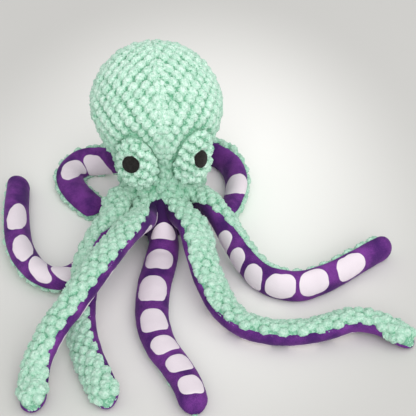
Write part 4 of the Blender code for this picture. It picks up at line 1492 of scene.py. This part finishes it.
def build_felt_eyes():
    felt = felt_finish()
    tilts, radii, back, front = felt_profile()
    around = np.arange(FELT_COLUMNS) * 2 * math.pi / FELT_COLUMNS
    for side, label in SIDES:
        place, look = eye_ball(side)
        fuzz = 1 + (0.006 * np.sin(7 * around + side) + 0.005 * np.sin(13 * around)
                    + 0.004 * np.sin(29 * around))
        local = radii[:, None, None] * round_directions(tilts[:, None] * fuzz, around)
        grid = place + local @ turned_to(look).T
        facing = np.where((radii < MOUND_RADIUS)[:, None, None], -1, 1)
        obj = ring_sheet("felt_eye_" + label, grid, facing * unit(grid - place), {}, around=True,
                         poles=((place + look * back, -look), (place + look * front, look)))
        mesh = obj.data
        mesh.attributes.remove(mesh.attributes["outward"])
        mesh.shade_smooth()
        mesh.materials.append(felt)
        turned_out(mesh)
        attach(obj, "body")
        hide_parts("eye_" + label)


def turned_out(mesh):
    """Turns every face of a closed mesh outwards."""
    form = bmesh.new()
    form.from_mesh(mesh)
    bmesh.ops.recalc_face_normals(form, faces=form.faces)
    form.to_mesh(mesh)
    form.free()


def build_base_velour():
    radius = ROOT_RADIUS - GAP
    corner = np.linspace(0, math.pi / 2, BASE_CORNER_ROWS + 1)[1:]
    radii = np.concatenate((
        np.linspace(BASE_START, radius - BASE_EDGE, BASE_FLOOR_ROWS),
        radius - BASE_EDGE * (1 - np.sin(corner)), np.full(BASE_WALL_ROWS, radius),
        np.linspace(radius, radius - BASE_LIP, BASE_LIP_ROWS + 1)[1:]))
    heights = np.concatenate((
        np.zeros(BASE_FLOOR_ROWS), BASE_EDGE * (1 - np.cos(corner)),
        np.linspace(BASE_EDGE, BASE_TOP, BASE_WALL_ROWS + 1)[1:],
        np.full(BASE_LIP_ROWS, BASE_TOP)))
    around = np.arange(BASE_COLUMNS) * 2 * math.pi / BASE_COLUMNS
    flat = round_directions(math.pi / 2, around) * (1, 1, 0)
    radii, heights = radii[:, None, None], heights[:, None, None]
    grid = radii * flat + heights * UP
    outward = unit(np.clip((radii - radius + BASE_EDGE) / BASE_EDGE, 0, 1) * flat
                   - np.clip((BASE_EDGE - heights) / BASE_EDGE, 0, 1) * UP)
    # The base is in painted shade all over
    obj = ring_sheet("base_velour", grid, outward, {"sucker": 0.0, "shade": VELOUR_PAINTED_SHADE},
                     np.broadcast_to(NO_SUCKER, grid.shape[:2] + (2,)), around=True,
                     poles=((np.zeros(3), -UP), (UP * BASE_TOP, UP)))
    bake_velour(obj)
    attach(obj, "body")
    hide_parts("base_cover", "base_filling")


# Stage


def build_stage():
    setup = bpy.context.scene.octopus_stage
    scene = bpy.context.scene
    mesh = bpy.data.meshes.new("floor")
    far = FLOOR_REACH
    mesh.from_pydata([(-far, -far, 0), (far, -far, 0), (far, far, 0), (-far, far, 0)], [],
                     [(0, 1, 2, 3)])
    mesh.materials.append(floor_finish())
    floor = linked("floor", mesh)

    lens = bpy.data.cameras.new("camera")
    lens.lens = setup.lens
    lens.sensor_width = SENSOR_WIDTH
    lens.clip_start = CLIP_START
    scene.camera = linked("camera", lens)
    scene.camera.location = setup.camera_place
    scene.camera.rotation_euler = (math.pi / 2 - setup.camera_drop, 0, 0)

    soft_box = bpy.data.lights.new("soft_box", "AREA")
    soft_box.energy = setup.key
    soft_box.size = SOFT_BOX_SIZE
    fill = bpy.data.lights.new("fill", "SUN")
    fill.energy = setup.fill
    fill.angle = FILL_ANGLE
    for light, place in ((soft_box, SOFT_BOX_PLACE), (fill, FILL_PLACE)):
        lamp = linked(light.name, light)
        lamp.location = place
        aim = LIGHT_TARGET - place
        lamp.rotation_euler = aim.to_track_quat("-Z", "Y").to_euler()

    world = bpy.data.worlds.new("room")
    world.use_nodes = True
    background = world.node_tree.nodes["Background"]
    background.inputs["Color"].default_value = (1, 1, 1, 1)
    background.inputs["Strength"].default_value = setup.sky
    scene.world = world
    scene.view_settings.view_transform = "Standard"


# Operators and panel


class OCTOPUS_OT_base_velour(bpy.types.Operator):
    """Round velour base under the head"""

    bl_idname = "octopus.base_velour"
    bl_label = "Base velour"

    def execute(self, context):
        build_base_velour()
        return {"FINISHED"}


class OCTOPUS_OT_head_plush(bpy.types.Operator):
    """Two halves of the head in lumpy plush, joined by a front and a back seam"""

    bl_idname = "octopus.head_plush"
    bl_label = "Head plush"

    def execute(self, context):
        build_head_plush()
        return {"FINISHED"}


class OCTOPUS_OT_eye_mounds(bpy.types.Operator):
    """Gathered mounds of plush that carry the eyes"""

    bl_idname = "octopus.eye_mounds"
    bl_label = "Eye mounds"

    def execute(self, context):
        build_eye_mounds()
        return {"FINISHED"}


class OCTOPUS_OT_felt_eyes(bpy.types.Operator):
    """Round eyes of black felt"""

    bl_idname = "octopus.felt_eyes"
    bl_label = "Felt eyes"

    def execute(self, context):
        build_felt_eyes()
        return {"FINISHED"}


class OCTOPUS_OT_arm_plush(bpy.types.Operator):
    """Lumpy side of all eight arms"""

    bl_idname = "octopus.arm_plush"
    bl_label = "Arm plush"

    def execute(self, context):
        for name, row in ARM_TABLE.items():
            arm_plush_covers(name, row)
        return {"FINISHED"}


class OCTOPUS_OT_arm_velour(bpy.types.Operator):
    """Smooth side of all eight arms, with printed suckers"""

    bl_idname = "octopus.arm_velour"
    bl_label = "Arm velour"

    def execute(self, context):
        for name, row in ARM_TABLE.items():
            arm_velour_covers(name, row)
        return {"FINISHED"}


class OCTOPUS_OT_squeaker_finish(bpy.types.Operator):
    """Milky plastic for the squeaker inside the head"""

    bl_idname = "octopus.squeaker_finish"
    bl_label = "Squeaker finish"

    def execute(self, context):
        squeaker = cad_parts["squeaker"]
        plastic = plastic_finish()
        for holder in squeaker.material_slots:
            holder.material = plastic
        return {"FINISHED"}


class OCTOPUS_OT_stage(bpy.types.Operator):
    """Pale floor, soft light and the camera"""

    bl_idname = "octopus.stage"
    bl_label = "Stage"

    def execute(self, context):
        build_stage()
        return {"FINISHED"}


PIECE_OPERATORS = (
    OCTOPUS_OT_base_velour,
    OCTOPUS_OT_head_plush,
    OCTOPUS_OT_eye_mounds,
    OCTOPUS_OT_felt_eyes,
    OCTOPUS_OT_arm_plush,
    OCTOPUS_OT_arm_velour,
    OCTOPUS_OT_squeaker_finish,
    OCTOPUS_OT_stage,
)


class OCTOPUS_PT_looks(bpy.types.Panel):
    """Sizes, colours and pieces of the plush octopus"""

    bl_label = "Octopus"
    bl_idname = "OCTOPUS_PT_looks"
    bl_space_type = "VIEW_3D"
    bl_region_type = "UI"
    bl_category = "Octopus"

    def draw(self, context):
        for group in GROUPS:
            box = self.layout.box()
            settings = getattr(context.scene, group)
            for name in settings.__annotations__:
                box.prop(settings, name)
        for operator in PIECE_OPERATORS:
            self.layout.operator(operator.bl_idname)


GROUPS = {
    "octopus_plush": OctopusPlush,
    "octopus_velour": OctopusVelour,
    "octopus_colours": OctopusColours,
    "octopus_stage": OctopusStage,
}


def register():
    for name, group in GROUPS.items():
        bpy.utils.register_class(group)
        setattr(bpy.types.Scene, name, PointerProperty(type=group))
    for operator in PIECE_OPERATORS:
        bpy.utils.register_class(operator)
    bpy.utils.register_class(OCTOPUS_PT_looks)


def unregister():
    bpy.utils.unregister_class(OCTOPUS_PT_looks)
    for operator in reversed(PIECE_OPERATORS):
        bpy.utils.unregister_class(operator)
    for name, group in GROUPS.items():
        delattr(bpy.types.Scene, name)
        bpy.utils.unregister_class(group)


def main():
    register()
    for operator in PIECE_OPERATORS:
        family, name = operator.bl_idname.split(".")
        getattr(getattr(bpy.ops, family), name)()


if __name__ == "__main__":
    main()
